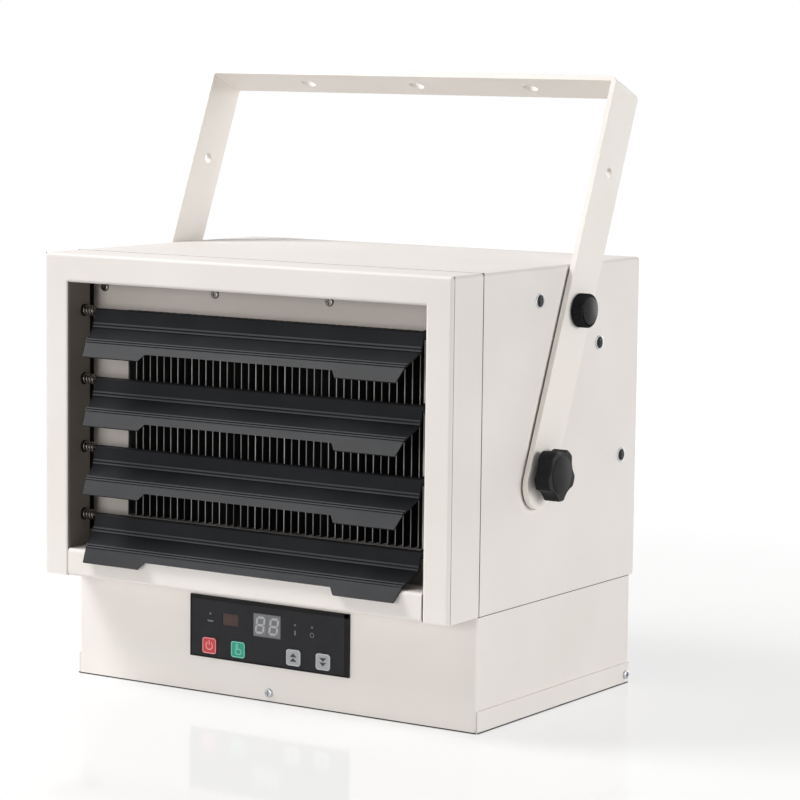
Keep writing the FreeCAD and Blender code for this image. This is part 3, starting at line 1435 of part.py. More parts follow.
# Screw heads: pan heads in front and on the tray, hexagon heads at the rear and on the motor.
def screw_heads():
    spots = {"inner": "baffle_screw_inner", "outer": "(cab_width / 2 - baffle_screw_side)"}
    baffle = [
        bar(f"baffle_screw_{side}_{row}", "y",
            (f"{sign} * {across}", f"{SEAM} - pan_height", "cab_top - baffle_screw_drop"),
            "pan_radius", "pan_height")
        for side, sign in SIDES.items() for row, across in spots.items()
    ]
    keep("baffle_screws", group("baffle_screws", baffle))
    flange = f"({BASE_HALF} + sheet)"
    screw_y = f"{BASE_REAR} - tray_screw_back"
    spots = {
        "front": ("y", ("0", f"{SEAM} - pan_height", "tray_screw_z")),
        "right": ("x", (flange, screw_y, "tray_screw_z")),
        "left": ("x", (f"-{flange} - pan_height", screw_y, "tray_screw_z")),
    }
    tray = [
        bar(f"tray_screw_{side}", axis, spot, "pan_radius", "pan_height")
        for side, (axis, spot) in spots.items()
    ]
    keep("tray_screws", group("tray_screws", tray))
    rear = []
    for side, sign in SIDES.items():
        for height in ("base_height + panel_screw_inset", FAN_Z, "cab_top - panel_screw_inset"):
            spot = (f"{sign} * ({HALF} - panel_screw_inset)", REAR, height)
            rear.append(hexagon(f"rear_screw_{len(rear)}", "y", spot, "hex_radius", "hex_height"))
    keep("rear_panel_screws", group("rear_panel_screws", rear))
    base = []
    for side, sign in SIDES.items():
        for height in ("base_screw_inset", "base_height - base_screw_inset"):
            base.append(hexagon(f"base_screw_{len(base)}", "y",
                                (f"{sign} * ({BASE_HALF} - panel_screw_inset)", BASE_REAR, height),
                                "hex_radius", "hex_height"))
    keep("base_rear_screws", group("base_rear_screws", base))
    motor = [
        hexagon(f"motor_screw_{side}", "y", (f"{sign} * motor_screw_x", f"{MOTOR_Y} + bracket_sheet", FAN_Z),
                "hex_radius", "hex_height")
        for side, sign in SIDES.items()
    ]
    keep("motor_screws", group("motor_screws", motor))


def build():
    """Build every piece of the heater in the order it is assembled."""
    upper_shell()
    front_frame()
    front_bottom_rail()
    baffle_plate()
    rear_panel()
    deck_plate()
    base_shell()
    base_rear_panel()
    bottom_tray()
    for number in LOUVRES:
        louvre(number)
        louvre_pins(number)
    pivot_springs()
    pivot_spacers()
    hanger_bracket()
    for side, sign in SIDES.items():
        star_knob(side, sign)
        lock_knob(side, sign)
        element_plate(side, sign)
    angle_lock_nuts()
    pivot_hardware()
    fin_pack()
    for number in TUBES:
        heating_tube(number)
    thermal_cutout()
    fan_motor()
    motor_bracket()
    fan_blade()
    motor_shaft()
    control_fascia()
    for key in KEY_X:
        control_key(key)
    control_electronics()
    power_electronics()
    terminal_block()
    cable_gland()
    screw_heads()
    doc.recompute()


def check():
    """Stop if any object of the document failed or any piece is empty or invalid."""
    for thing in doc.Objects:
        if "Invalid" in thing.State or "Error" in thing.State:
            raise ValueError(f"{thing.Name} failed: {thing.State}")
    for thing in pieces:
        if thing.Shape.isNull() or not thing.Shape.isValid() or not thing.Shape.Solids:
            raise ValueError(f"{thing.Label} has no valid solid")


def export():
    """Write each piece to its own file."""
    os.makedirs("parts", exist_ok=True)
    for thing in pieces:
        thing.Shape.exportStep(f"parts/{thing.Label}.step")
    print(f"{len(pieces)} pieces")


build()
check()
export()
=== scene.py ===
"""Garage heater with tilting louvres: finishes for its solids and the fine pieces that go on them."""

import logging
import math
from collections.abc import Callable, Iterable, Sequence
from dataclasses import dataclass, replace
from enum import Enum
from typing import Any

import bpy
from mathutils import Matrix, Vector


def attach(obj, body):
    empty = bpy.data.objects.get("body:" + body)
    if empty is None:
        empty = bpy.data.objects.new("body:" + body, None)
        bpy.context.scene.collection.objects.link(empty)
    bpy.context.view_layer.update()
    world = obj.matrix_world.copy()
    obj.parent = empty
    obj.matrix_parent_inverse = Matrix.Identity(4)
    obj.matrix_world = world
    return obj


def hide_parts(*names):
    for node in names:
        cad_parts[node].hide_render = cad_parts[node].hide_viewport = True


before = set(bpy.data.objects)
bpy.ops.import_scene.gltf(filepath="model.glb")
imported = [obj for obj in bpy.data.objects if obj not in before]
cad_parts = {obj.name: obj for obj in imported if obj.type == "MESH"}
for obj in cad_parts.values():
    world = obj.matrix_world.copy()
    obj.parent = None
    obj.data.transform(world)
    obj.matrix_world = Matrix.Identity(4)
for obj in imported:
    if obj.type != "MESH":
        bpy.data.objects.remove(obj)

log = logging.getLogger("garage_heater")

MM = 0.001
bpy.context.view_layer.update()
# Points closer than this many metres are one point.
SLACK = 1e-6
# A face with at least this much Z in its normal is flat.
FLAT = 0.9
# How far a cutter reaches past what it cuts, in millimetres.
CUT_ROOM = 1.0

Outline = list[tuple[float, float]]
Point = tuple[float, float, float]
Piece = bpy.types.Object
Tree = bpy.types.NodeTree
Socket = bpy.types.NodeSocket


def tint(code: str) -> tuple[float, float, float, float]:
    """Turn an sRGB hex colour into a linear one.

    Args:
        code: Six hex digits, with or without a leading hash.

    Returns:
        Red, green, blue and an alpha of one.
    """
    digits = code.lstrip("#")
    parts = [int(digits[start:start + 2], 16) / 255 for start in (0, 2, 4)]
    red, green, blue = (
        part / 12.92 if part <= 0.04045 else ((part + 0.055) / 1.055) ** 2.4 for part in parts)
    return red, green, blue, 1.0


def add_node(
    tree: Tree,
    kind: str,
    settings: dict[str, Any] | None = None,
    inputs: dict[Any, Any] | None = None,
) -> bpy.types.Node:
    """Add a shader node with its settings, values and links.

    Args:
        tree: The node tree that gets the node.
        kind: The node's type name without the ShaderNode prefix.
        settings: Properties of the node.
        inputs: Values by socket name or number; an output socket is linked.

    Returns:
        The new node.
    """
    node = tree.nodes.new(f"ShaderNode{kind}")
    for name, value in (settings or {}).items():
        setattr(node, name, value)
    for name, value in (inputs or {}).items():
        if isinstance(value, Socket):
            tree.links.new(value, node.inputs[name])
        else:
            node.inputs[name].default_value = value
    return node


class Grain(Enum):
    """How a surface was made, which decides the pattern of its relief."""

    PEEL = "powder coat that flowed into soft dimples"
    DRAWN = "metal drawn or rolled along one direction"
    SPARKED = "plastic moulded in a spark-eroded tool"
    SPANGLED = "zinc that froze in flat crystals"
    STACKED = "thin sheets pressed together"


@dataclass(frozen=True)
class Bead:
    """A pair of ridges along a louvre, in millimetres about the blade's pivot.

    Attributes:
        face: Lean of the band that carries it, in degrees.
        rise: Distance of the band's face in front of the pivot.
        middle: Height of the middle of the pair.
        half: Half of its height.
    """

    face: float
    rise: float
    middle: float
    half: float


# The pivots of the louvres, and the ridges at the foot of a blade's upper band and of its mid band.
PIVOT_DEPTH = -130.5
FIRST_PIVOT = 282.6
PIVOT_PITCH = 51.4
PIVOT_ROOM = 2.5
LOUVRE_BEADS = (Bead(12.0, 2.4, -9.7, 1.9), Bead(55.0, -6.5, -20.3, 1.6))
CREST_EDGE = 0.2
# Depth and height of the axis on which the strap turns.
STRAP_PIVOT = (-33.0, 178.0)
# Noise between these heights takes a finish from its colour to its shade.
DRIFT = (0.35, 0.65)
DRIFT_DETAIL = 4.0
# A cut edge looks to the front. Its wear changes from fin to fin and leaves this share of it bare.
CUT_FACING = (-0.7, -0.9)
WEAR_MM = 20 / 3
WEAR_DETAIL = 2.0
WEAR_NOISE = (0.35, 0.62)
BARE_SHARE = (0.2, 1.0)
# On an inner wall, where shade is painted, the sideways normal times the distance from the middle in metres
# is below zero.
INWARD = (-0.10, -0.12)
# A wave texture turns by 20 radians in one of its units.
WAVE_RADIANS = 20
SHEET_WAVER = 0.4
SPARK_DETAIL = 3.0
PLAIN_DETAIL = 1.0
COAT_ROUGHNESS = 0.08


@dataclass(frozen=True)
class Finish:
    """One real material with its surface. Colours are sRGB hex codes.

    Attributes:
        name: Name of the material.
        colour: Its main colour.
        shade: The colour that it drifts to.
        roughness: Its mean roughness.
        grain: Pattern of its relief.
        grain_mm: Size of that pattern.
        relief_mm: Height of that pattern.
        mottle_mm: Size of the drift in colour.
        spread: How far the roughness goes to either side of its mean.
        metallic: One for bare metal.
        specular: Level of its gloss.
        coat: Weight of a clear skin.
        stretch: How much longer the pattern is along each axis.
        front_edge: Colour of cut edges that look to the front, if they differ.
        inner_wall_shade: Colour of the shade painted on inner walls, if any.
        crest_highlight: Colour of a highlight painted on the ridges, if any.
    """

    name: str
    colour: str
    shade: str
    roughness: float
    grain: Grain = Grain.SPARKED
    grain_mm: float = 1.2
    relief_mm: float = 0.02
    mottle_mm: float = 40.0
    spread: float = 0.06
    metallic: float = 0.0
    specular: float = 0.5
    coat: float = 0.0
    stretch: tuple[float, float, float] = (1.0, 1.0, 1.0)
    front_edge: str = ""
    inner_wall_shade: str = ""
    crest_highlight: str = ""

    def make(self) -> bpy.types.Material:
        """Build the material's nodes, once for each finish.

        Returns:
            The material.
        """
        material = bpy.data.materials.get(self.name)
        if material is not None:
            return material
        material = bpy.data.materials.new(self.name)
        material.use_nodes = True
        tree = material.node_tree
        shader = tree.nodes["Principled BSDF"]
        place = add_node(tree, "TexCoord").outputs["Object"]
        relief = self.relief(tree, place)
        colour = self.mottle(tree, place)
        spots = (
            (self.front_edge, self.cut_edges),
            # The inner walls of the stiles get a painted shade.
            (self.inner_wall_shade, self.shaded_inner_walls),
            # The crests of the louvres' ridges get a painted highlight.
            (self.crest_highlight, self.highlighted_crests),
        )
        for code, share in spots:
            if code:
                mixed = add_node(tree, "Mix", {"data_type": "RGBA"}, {
                    "Factor": share(tree, place), "A": colour, "B": tint(code)})
                colour = mixed.outputs["Result"]
        rough = add_node(tree, "MapRange", inputs={
            "Value": relief,
            "To Min": self.roughness - self.spread,
            "To Max": self.roughness + self.spread,
        })
        bump = add_node(tree, "Bump", inputs={
            "Strength": 1.0, "Distance": self.relief_mm * MM, "Height": relief})
        tree.links.new(colour, shader.inputs["Base Color"])
        tree.links.new(rough.outputs["Result"], shader.inputs["Roughness"])
        tree.links.new(bump.outputs["Normal"], shader.inputs["Normal"])
        shader.inputs["Metallic"].default_value = self.metallic
        shader.inputs["Specular IOR Level"].default_value = self.specular
        shader.inputs["Coat Weight"].default_value = self.coat
        shader.inputs["Coat Roughness"].default_value = COAT_ROUGHNESS
        return material

    def relief(self, tree: Tree, place: Socket) -> Socket:
        """Add the pattern that the way of making leaves on the surface.

        Args:
            tree: The material's nodes.
            place: Object coordinates in metres.

        Returns:
            Height of the surface from zero to one.
        """
        spaced = add_node(tree, "Mapping", {"vector_type": "TEXTURE"}, {
            "Vector": place, "Scale": self.stretch}).outputs["Vector"]
        scale = 1 / (self.grain_mm * MM)
        if self.grain is Grain.SPANGLED:
            cells = add_node(tree, "TexVoronoi", {"feature": "F1"}, {"Vector": spaced, "Scale": scale})
            return add_node(tree, "RGBToBW", inputs={"Color": cells.outputs["Color"]}).outputs["Val"]
        if self.grain is Grain.STACKED:
            sheets = add_node(tree, "TexWave", {"bands_direction": "Y"}, {
                "Vector": spaced, "Scale": scale / WAVE_RADIANS, "Distortion": SHEET_WAVER})
            return sheets.outputs["Fac"]
        detail = SPARK_DETAIL if self.grain is Grain.SPARKED else PLAIN_DETAIL
        noise = add_node(tree, "TexNoise", inputs={"Vector": spaced, "Scale": scale, "Detail": detail})
        return noise.outputs["Fac"]

    def mottle(self, tree: Tree, place: Socket) -> Socket:
        """Add the slow change of colour over the surface.

        Args:
            tree: The material's nodes.
            place: Object coordinates in metres.

        Returns:
            The colour.
        """
        drift = add_node(tree, "TexNoise", inputs={
            "Vector": place, "Scale": 1 / (self.mottle_mm * MM), "Detail": DRIFT_DETAIL})
        share = add_node(tree, "MapRange", inputs={
            "Value": drift.outputs["Fac"], "From Min": DRIFT[0], "From Max": DRIFT[1]})
        mixed = add_node(tree, "Mix", {"data_type": "RGBA"}, {
            "Factor": share.outputs["Result"], "A": tint(self.colour), "B": tint(self.shade)})
        return mixed.outputs["Result"]

    def cut_edges(self, tree: Tree, place: Socket) -> Socket:
        """Find the faces that look to the front, barer on some sheets than on others.

        Args:
            tree: The material's nodes.
            place: Object coordinates in metres.

        Returns:
            Share of the bare colour from zero to one.
        """
        normal = add_node(tree, "NewGeometry").outputs["Normal"]
        facing = add_node(tree, "SeparateXYZ", inputs={"Vector": normal})
        share = add_node(tree, "MapRange", inputs={
            "Value": facing.outputs["Y"], "From Min": CUT_FACING[0], "From Max": CUT_FACING[1]})
        across = add_node(tree, "VectorMath", {"operation": "MULTIPLY"}, {0: place, 1: (1.0, 0.0, 0.0)})
        wear = add_node(tree, "TexNoise", inputs={
            "Vector": across.outputs["Vector"], "Scale": 1 / (WEAR_MM * MM), "Detail": WEAR_DETAIL})
        bare = add_node(tree, "MapRange", inputs={
            "Value": wear.outputs["Fac"],
            "From Min": WEAR_NOISE[0],
            "From Max": WEAR_NOISE[1],
            "To Min": BARE_SHARE[0],
            "To Max": BARE_SHARE[1],
        })
        both = add_node(tree, "Math", {"operation": "MULTIPLY"}, {
            0: share.outputs["Result"], 1: bare.outputs["Result"]})
        return both.outputs["Value"]

    def shaded_inner_walls(self, tree: Tree, place: Socket) -> Socket:
        """Find the upright faces that look to the middle of the heater, where shade is painted.

        Args:
            tree: The material's nodes.
            place: Object coordinates in metres.

        Returns:
            One on these faces and zero elsewhere.
        """
        normal = add_node(tree, "NewGeometry").outputs["Normal"]
        facing = add_node(tree, "SeparateXYZ", inputs={"Vector": normal})
        spot = add_node(tree, "SeparateXYZ", inputs={"Vector": place})
        outward = add_node(tree, "Math", {"operation": "MULTIPLY"}, {
            0: facing.outputs["X"], 1: spot.outputs["X"]})
        share = add_node(tree, "MapRange", inputs={
            "Value": outward.outputs["Value"], "From Min": INWARD[0], "From Max": INWARD[1]})
        return share.outputs["Result"]

    def highlighted_crests(self, tree: Tree, place: Socket) -> Socket:
        """Find the crests of the louvres' ridges, where a highlight is painted.

        Args:
            tree: The material's nodes.
            place: Object coordinates in metres.

        Returns:
            One on the crests and zero elsewhere.
        """
        spot = add_node(tree, "SeparateXYZ", inputs={"Vector": place})
        ahead = add_node(tree, "Math", {"operation": "SUBTRACT"}, {
            0: spot.outputs["Y"], 1: PIVOT_DEPTH * MM})
        under = add_node(tree, "Math", {"operation": "SUBTRACT"}, {
            0: spot.outputs["Z"], 1: FIRST_PIVOT * MM})
        drop = add_node(tree, "Math", {"operation": "WRAP"}, {
            0: under.outputs["Value"], 1: PIVOT_ROOM * MM, 2: (PIVOT_ROOM - PIVOT_PITCH) * MM})
        about = add_node(tree, "CombineXYZ", inputs={
            "Y": ahead.outputs["Value"], "Z": drop.outputs["Value"]})
        crests: list[Socket] = []
        for bead in LOUVRE_BEADS:
            lean = math.radians(bead.face)
            rise = add_node(tree, "VectorMath", {"operation": "DOT_PRODUCT"}, {
                0: about.outputs["Vector"], 1: (0.0, -math.cos(lean), math.sin(lean))})
            over = add_node(tree, "MapRange", inputs={
                "Value": rise.outputs["Value"],
                "From Min": bead.rise * MM,
                "From Max": (bead.rise + CREST_EDGE) * MM,
            })
            near = add_node(tree, "Math", {"operation": "COMPARE"}, {
                0: drop.outputs["Value"], 1: bead.middle * MM, 2: bead.half * MM})
            share = add_node(tree, "Math", {"operation": "MULTIPLY"}, {
                0: over.outputs["Result"], 1: near.outputs["Value"]})
            crests.append(share.outputs["Value"])
        either = add_node(tree, "Math", {"operation": "MAXIMUM"}, dict(enumerate(crests)))
        return either.outputs["Value"]


# Powder coat on steel: warm off-white, low sheen, soft orange peel (drawn at 1.6 mm so that it shows).
CABINET_PAINT = Finish(
    "powder_coat_warm_white", "#EAE5E1", "#E7E1DC", 0.5, Grain.PEEL, 1.6, 0.012, 90.0, specular=0.22)
# The same powder on the front frame, with grey shade painted on the inner walls of the stiles.
FRAME_PAINT = replace(CABINET_PAINT, name="powder_coat_frame_shaded_walls", inner_wall_shade="#7A736A")
# The same powder on the baffle, made greyer to paint in the shade under the top rail.
SHADED_BAFFLE_PAINT = replace(
    CABINET_PAINT, name="powder_coat_baffle_painted_shade", colour="#D3CBC5", shade="#CEC6BF", specular=0.3)
# The same powder on thick strap, a little smoother, and paler than the cabinet's to paint in light on its
# undersides.
LIT_BRACKET_PAINT = replace(
    CABINET_PAINT, name="powder_coat_strap_painted_light", colour="#F2EDE7", shade="#EFE9E2", roughness=0.48, grain_mm=1.8)
# Anodised extruded aluminium: satin black with die lines along the blade, with a highlight painted on the
# ridges.
LOUVRE_BLACK = Finish(
    "black_anodised_aluminium", "#232426", "#28292B", 0.35, Grain.DRAWN, 0.9, 0.006, 30.0,
    specular=0.065, stretch=(60.0, 1.0, 1.0), crest_highlight="#4C4D50")
# Oxidised steel fins: nearly black faces and a bare front edge left by the shears.
FIN_METAL = Finish(
    "oxidised_steel_fin", "#1C1B1B", "#252322", 0.55, Grain.DRAWN, 1.0, 0.01, 14.0,
    specular=0.3, front_edge="#C4C3C1")
# Zinc-plated steel: cool bright metal with a faint blue passivation.
BRIGHT_ZINC = Finish(
    "zinc_plated_steel", "#C4C6C8", "#B4B8BD", 0.28, Grain.DRAWN, 0.6, 0.006, 3.0, metallic=1.0)
# Spring wire: drawn along its length, dulled by oil and darkened further to paint in the shade on the pivots.
SHADED_SPRING_WIRE = Finish(
    "drawn_spring_wire_painted_shade", "#86827C", "#6E6A65", 0.3, Grain.DRAWN, 0.5, 0.004, 2.0, metallic=1.0)
# Nickel-plated screw: duller and warmer than zinc, and darkened to paint in the shade on the baffle screws
# and pivot pins.
SHADED_NICKEL = Finish(
    "nickel_steel_painted_shade", "#8F8A84", "#7C7771", 0.3, Grain.DRAWN, 0.6, 0.006, 3.0, metallic=1.0)
# Hot-dip galvanised sheet: grey with flat crystals about 9 mm across.
GALVANISED = Finish(
    "galvanised_sheet", "#A9ABAC", "#979A9C", 0.42, Grain.SPANGLED, 9.0, 0.006, 35.0, 0.1, metallic=0.8)
# Stainless sheath of a heating tube, straw-coloured from heat.
TUBE_SHEATH = Finish(
    "heat_tinted_stainless", "#8C8078", "#6F665F", 0.4, Grain.DRAWN, 0.8, 0.006, 12.0, metallic=1.0)
# Pressed aluminium fan: rolled sheet with fine lines.
FAN_ALUMINIUM = Finish(
    "rolled_aluminium", "#BFC1C2", "#B3B5B7", 0.34, Grain.DRAWN, 0.9, 0.008, 25.0,
    metallic=1.0, stretch=(40.0, 1.0, 1.0))
# Varnished motor core: dark sheets pressed together, drawn as lines about 12 mm apart so that they show.
MOTOR_CORE = Finish(
    "varnished_laminations", "#4A4745", "#393736", 0.45, Grain.STACKED, 2.0, 0.05, 20.0, metallic=0.5)
# Glass-filled nylon knob: moulded black with a fine spark texture.
KNOB_BLACK = Finish(
    "moulded_black_nylon", "#161618", "#1B1B1D", 0.5, Grain.SPARKED, 0.7, 0.02, 8.0, specular=0.12)
# Face of a knob, polished in the mould.
KNOB_FACE = Finish(
    "polished_black_nylon", "#1A1A1C", "#1E1E20", 0.42, Grain.SPARKED, 0.8, 0.01, 8.0, specular=0.08)
# Polycarbonate panel: charcoal with a fine velvet texture.
PANEL_BLACK = Finish(
    "velvet_polycarbonate", "#232326", "#27272A", 0.5, Grain.SPARKED, 0.6, 0.012, 25.0, specular=0.15)
# Edge of the panel, glossy where the texture ends.
# Raised edge of the panel, darker than its face, with painted shade and reflection along the top and the
# right.
PANEL_SHADE_RIM = Finish(
    "dark_polycarbonate_edge_painted_shade", "#121213", "#161617", 0.3, Grain.SPARKED, 0.8, 0.006, 25.0, specular=0.15)
# Display window: grey filter behind a clear skin.
DISPLAY_LENS = Finish(
    "grey_display_filter", "#57585A", "#5E5F61", 0.25, Grain.SPARKED, 0.8, 0.004, 12.0, coat=0.4)
# Digit blocks behind the filter, a paler grey.
DISPLAY_BLOCK = Finish("digit_block", "#6C6D70", "#717275", 0.35, Grain.SPARKED, 0.8, 0.004, 8.0)
# Unlit segments: milky epoxy.
DISPLAY_SEGMENT = Finish("milky_epoxy_segment", "#A6A8AA", "#AEB0B2", 0.35, Grain.SPARKED, 0.6, 0.004, 5.0)
# Infrared window: deep red-brown clear plastic, dark from outside.
RECEIVER_LENS = Finish(
    "infrared_acrylic", "#4A3A36", "#443430", 0.3, Grain.SPARKED, 0.9, 0.003, 8.0, specular=0.2, coat=0.1)
# Silicone keys: matt, dyed through.
KEY_RED = Finish("red_silicone", "#C83C42", "#C2383E", 0.48, Grain.SPARKED, 0.5, 0.012, 5.0)
KEY_GREEN = replace(KEY_RED, name="green_silicone", colour="#229C82", shade="#1F957C")
KEY_GREY = replace(KEY_RED, name="grey_silicone", colour="#A6A8AB", shade="#A1A3A6")
# Pad-printed ink on the keys and the panel: matt and thin.
PRINT_PINK = Finish("pink_pad_print", "#EBA9A8", "#E7A2A1", 0.55, Grain.SPARKED, 0.3, 0.004, 4.0)
PRINT_MINT = replace(PRINT_PINK, name="mint_pad_print", colour="#8FD8C4", shade="#88D1BD")
PRINT_PALE = replace(PRINT_PINK, name="pale_pad_print", colour="#C9CBCD", shade="#C3C5C7")
PRINT_DARK = replace(PRINT_PINK, name="dark_pad_print", colour="#2D2E32", shade="#292A2E")
PRINT_GREY = replace(PRINT_PINK, name="grey_pad_print", colour="#6E7074", shade="#67696D")
# Glass-epoxy circuit board under green solder mask.
CIRCUIT_BOARD = Finish("green_solder_mask", "#1F5B3A", "#1A5134", 0.35, Grain.DRAWN, 1.5, 0.006, 6.0)
# Black phenolic and polyester housings of small components.
COMPONENT_BLACK = Finish(
    "moulded_polyester_black", "#202022", "#272729", 0.45, Grain.SPARKED, 0.8, 0.012, 8.0)
# White ceramic-filled terminal strip.
TERMINAL_WHITE = Finish(
    "moulded_terminal_white", "#D9D7D0", "#D2D0C8", 0.45, Grain.SPARKED, 0.9, 0.012, 10.0)
# Natural nylon: milky, slightly waxy.
NYLON = Finish("natural_nylon", "#D6D3C8", "#CFCBBF", 0.4, Grain.SPARKED, 0.8, 0.01, 8.0)
# Dark fill that paints the shade in the seams, in the inserts' mouths and at the foot of the base: nearly
# black, no shine, seen as a fine dark line.
SHADE_FILL = Finish(
    "dark_fill_painted_shade", "#3A3633", "#34312E", 0.8, Grain.SPARKED, 0.6, 0.02, 10.0, specular=0.1)
# Brown felt under the strap, which paints the shadow of the gap along its edge as a dark line.
STRAP_SHADE_FELT = Finish(
    "brown_felt_painted_shade", "#3B322B", "#332B25", 0.9, Grain.SPARKED, 1.0, 0.05, 12.0, specular=0.05)
# Moulded black nylon of the cable gland.
GLAND_NYLON = Finish("moulded_gland_nylon", "#232325", "#29292B", 0.42, Grain.SPARKED, 0.8, 0.015, 8.0)


class Facing(Enum):
    """Which way a piece that is drawn along Z looks once it is in place."""

    FRONT = ((1, 0, 0), (0, 0, 1), (0, -1, 0))
    RIGHT = ((0, 1, 0), (0, 0, 1), (1, 0, 0))
    LEFT = ((0, -1, 0), (0, 0, 1), (-1, 0, 0))
    UP = ((1, 0, 0), (0, 1, 0), (0, 0, 1))

    def at(self, across: float, along: float, up: float) -> Matrix:
        """Place a piece at a point of the heater.

        Args:
            across: X in millimetres.
            along: Y in millimetres.
            up: Z in millimetres.

        Returns:
            The matrix from the piece's own frame to the heater's.
        """
        turn = Matrix(self.value).transposed().to_4x4()
        return Matrix.Translation(Vector((across, along, up)) * MM) @ turn


def both_sides(across: float, along: float, up: float) -> list[Matrix]:
    """Return a place on the right of the heater and its mirror image on the left, from millimetres."""
    return [Facing.RIGHT.at(across, along, up), Facing.LEFT.at(-across, along, up)]


class MeshPart(Enum):
    """What is selected in a mesh."""

    FACE = "FACE"
    EDGE = "EDGE"


def choose(pieces: Sequence[Piece]) -> None:
    """Select some objects and nothing else.

    Args:
        pieces: The objects; the last becomes active.
    """
    bpy.ops.object.select_all(action="DESELECT")
    for piece in pieces:
        piece.select_set(True)
    bpy.context.view_layer.objects.active = pieces[-1]


def named(name: str) -> Piece:
    """Name the object that an operator has just made.

    Args:
        name: Name of the object and of its mesh.

    Returns:
        The object.
    """
    piece = bpy.context.object
    piece.name = piece.data.name = name
    return piece


def pick(piece: Piece, kind: MeshPart, test: Callable[[Vector, Vector], bool]) -> None:
    """Select faces by centre and normal, or edges by their two ends, and stay in edit mode.

    Args:
        piece: The mesh object.
        kind: Faces or edges.
        test: Says which to select, with points in metres.
    """
    choose([piece])
    bpy.ops.object.mode_set(mode="EDIT")
    bpy.ops.mesh.select_mode(type=kind.value)
    bpy.ops.mesh.select_all(action="DESELECT")
    bpy.ops.object.mode_set(mode="OBJECT")
    points = piece.data.vertices
    if kind is MeshPart.FACE:
        for face in piece.data.polygons:
            face.select = test(face.center, face.normal)
    else:
        for edge in piece.data.edges:
            edge.select = test(points[edge.vertices[0]].co, points[edge.vertices[1]].co)
    bpy.ops.object.mode_set(mode="EDIT")


def level(height: float) -> Callable[[Vector, Vector], bool]:
    """Return a test for edges whose two ends lie at one height in millimetres."""
    return lambda one, two: abs(one.z - height * MM) < SLACK and abs(two.z - height * MM) < SLACK


def close_up(piece: Piece, angle: float = 30.0) -> Piece:
    """Merge doubles, turn the faces outwards and smooth gentle edges.

    Args:
        piece: The mesh object.
        angle: Edges sharper than this many degrees stay sharp.

    Returns:
        The same object, in object mode.
    """
    choose([piece])
    bpy.ops.object.mode_set(mode="EDIT")
    bpy.ops.mesh.select_all(action="SELECT")
    bpy.ops.mesh.remove_doubles(threshold=SLACK)
    bpy.ops.mesh.normals_make_consistent(inside=False)
    bpy.ops.object.mode_set(mode="OBJECT")
    bpy.ops.object.shade_smooth_by_angle(angle=math.radians(angle))
    return piece


def soften(piece: Piece, height: float, width: float, steps: int = 3) -> None:
    """Round every edge of a piece at one height.

    Args:
        piece: The mesh object.
        height: Height of the edges in millimetres.
        width: Width of the rounding in millimetres.
        steps: Faces across the rounding.
    """
    pick(piece, MeshPart.EDGE, level(height))
    bpy.ops.mesh.bevel(offset=width * MM, segments=steps, affect="EDGES")
    bpy.ops.object.mode_set(mode="OBJECT")


def flat(name: str, outline: Outline, low: float = 0.0) -> Piece:
    """Draw a flat outline as one face, and leave it selected in edit mode.

    Args:
        name: Name of the object.
        outline: Corners in millimetres.
        low: Height of the face in millimetres.

    Returns:
        The face.
    """
    bpy.ops.object.select_all(action="DESELECT")
    bpy.ops.mesh.primitive_circle_add(vertices=len(outline), radius=MM, fill_type="NGON")
    piece = named(name)
    for point, (across, up) in zip(piece.data.vertices, outline):
        point.co = Vector((across, up, low)) * MM
    bpy.ops.object.mode_set(mode="EDIT")
    bpy.ops.mesh.select_all(action="SELECT")
    return piece


def raised(piece: Piece, depth: float) -> Piece:
    """Extrude the selected faces of a piece along Z and close it up.

    Args:
        piece: The mesh object, in edit mode.
        depth: Height in millimetres.

    Returns:
        The same object, in object mode.
    """
    bpy.ops.mesh.extrude_region_move(TRANSFORM_OT_translate={"value": (0, 0, depth * MM)})
    bpy.ops.object.mode_set(mode="OBJECT")
    return close_up(piece)


def plate(name: str, outline: Outline, depth: float, low: float = 0.0) -> Piece:
    """Raise a flat outline into a plate along Z.

    Args:
        name: Name of the object.
        outline: Corners in millimetres.
        depth: Thickness in millimetres.
        low: Height of the underside in millimetres.

    Returns:
        The plate.
    """
    return raised(flat(name, outline, low), depth)


def hoop(name: str, outline: Outline, width: float, depth: float) -> Piece:
    """Raise the border of a flat outline into a closed band along Z.

    Args:
        name: Name of the object.
        outline: Outer corners in millimetres.
        width: Width of the band in millimetres.
        depth: Height of the band in millimetres.

    Returns:
        The band.
    """
    piece = flat(name, outline)
    bpy.ops.mesh.inset(thickness=width * MM, depth=0)
    bpy.ops.mesh.delete(type="FACE")
    bpy.ops.mesh.select_all(action="SELECT")
    return raised(piece, depth)


def turned(name: str, radius: float, low: float, high: float, sides: int = 40) -> Piece:
    """Start a round piece between two heights.

    Args:
        name: Name of the object.
        radius: Radius in millimetres.
        low: Height of its underside in millimetres.
        high: Height of its top in millimetres.
        sides: Flats round it.

    Returns:
        The blank, to be shaped further.
    """
    bpy.ops.object.select_all(action="DESELECT")
    bpy.ops.mesh.primitive_cylinder_add(vertices=sides, radius=radius * MM, depth=(high - low) * MM,
                                        location=(0, 0, (high + low) / 2 * MM))
    piece = named(name)
    bpy.ops.object.transform_apply(location=True, rotation=True, scale=True)
    return piece


def sink(piece: Piece, height: float, margin: float, drop: float) -> None:
    """Inset the flat face at one height and move the inner face along Z.

    Args:
        piece: The mesh object.
        height: Height of the face in millimetres.
        margin: Width of the border that stays, in millimetres.
        drop: How far the inner face goes down, in millimetres.
    """
    pick(piece, MeshPart.FACE,
         lambda centre, normal: abs(centre.z - height * MM) < SLACK and abs(normal.z) > FLAT)
    bpy.ops.mesh.inset(thickness=margin * MM, depth=0)
    bpy.ops.mesh.extrude_region_move(TRANSFORM_OT_translate={"value": (0, 0, -drop * MM)})
    bpy.ops.object.mode_set(mode="OBJECT")


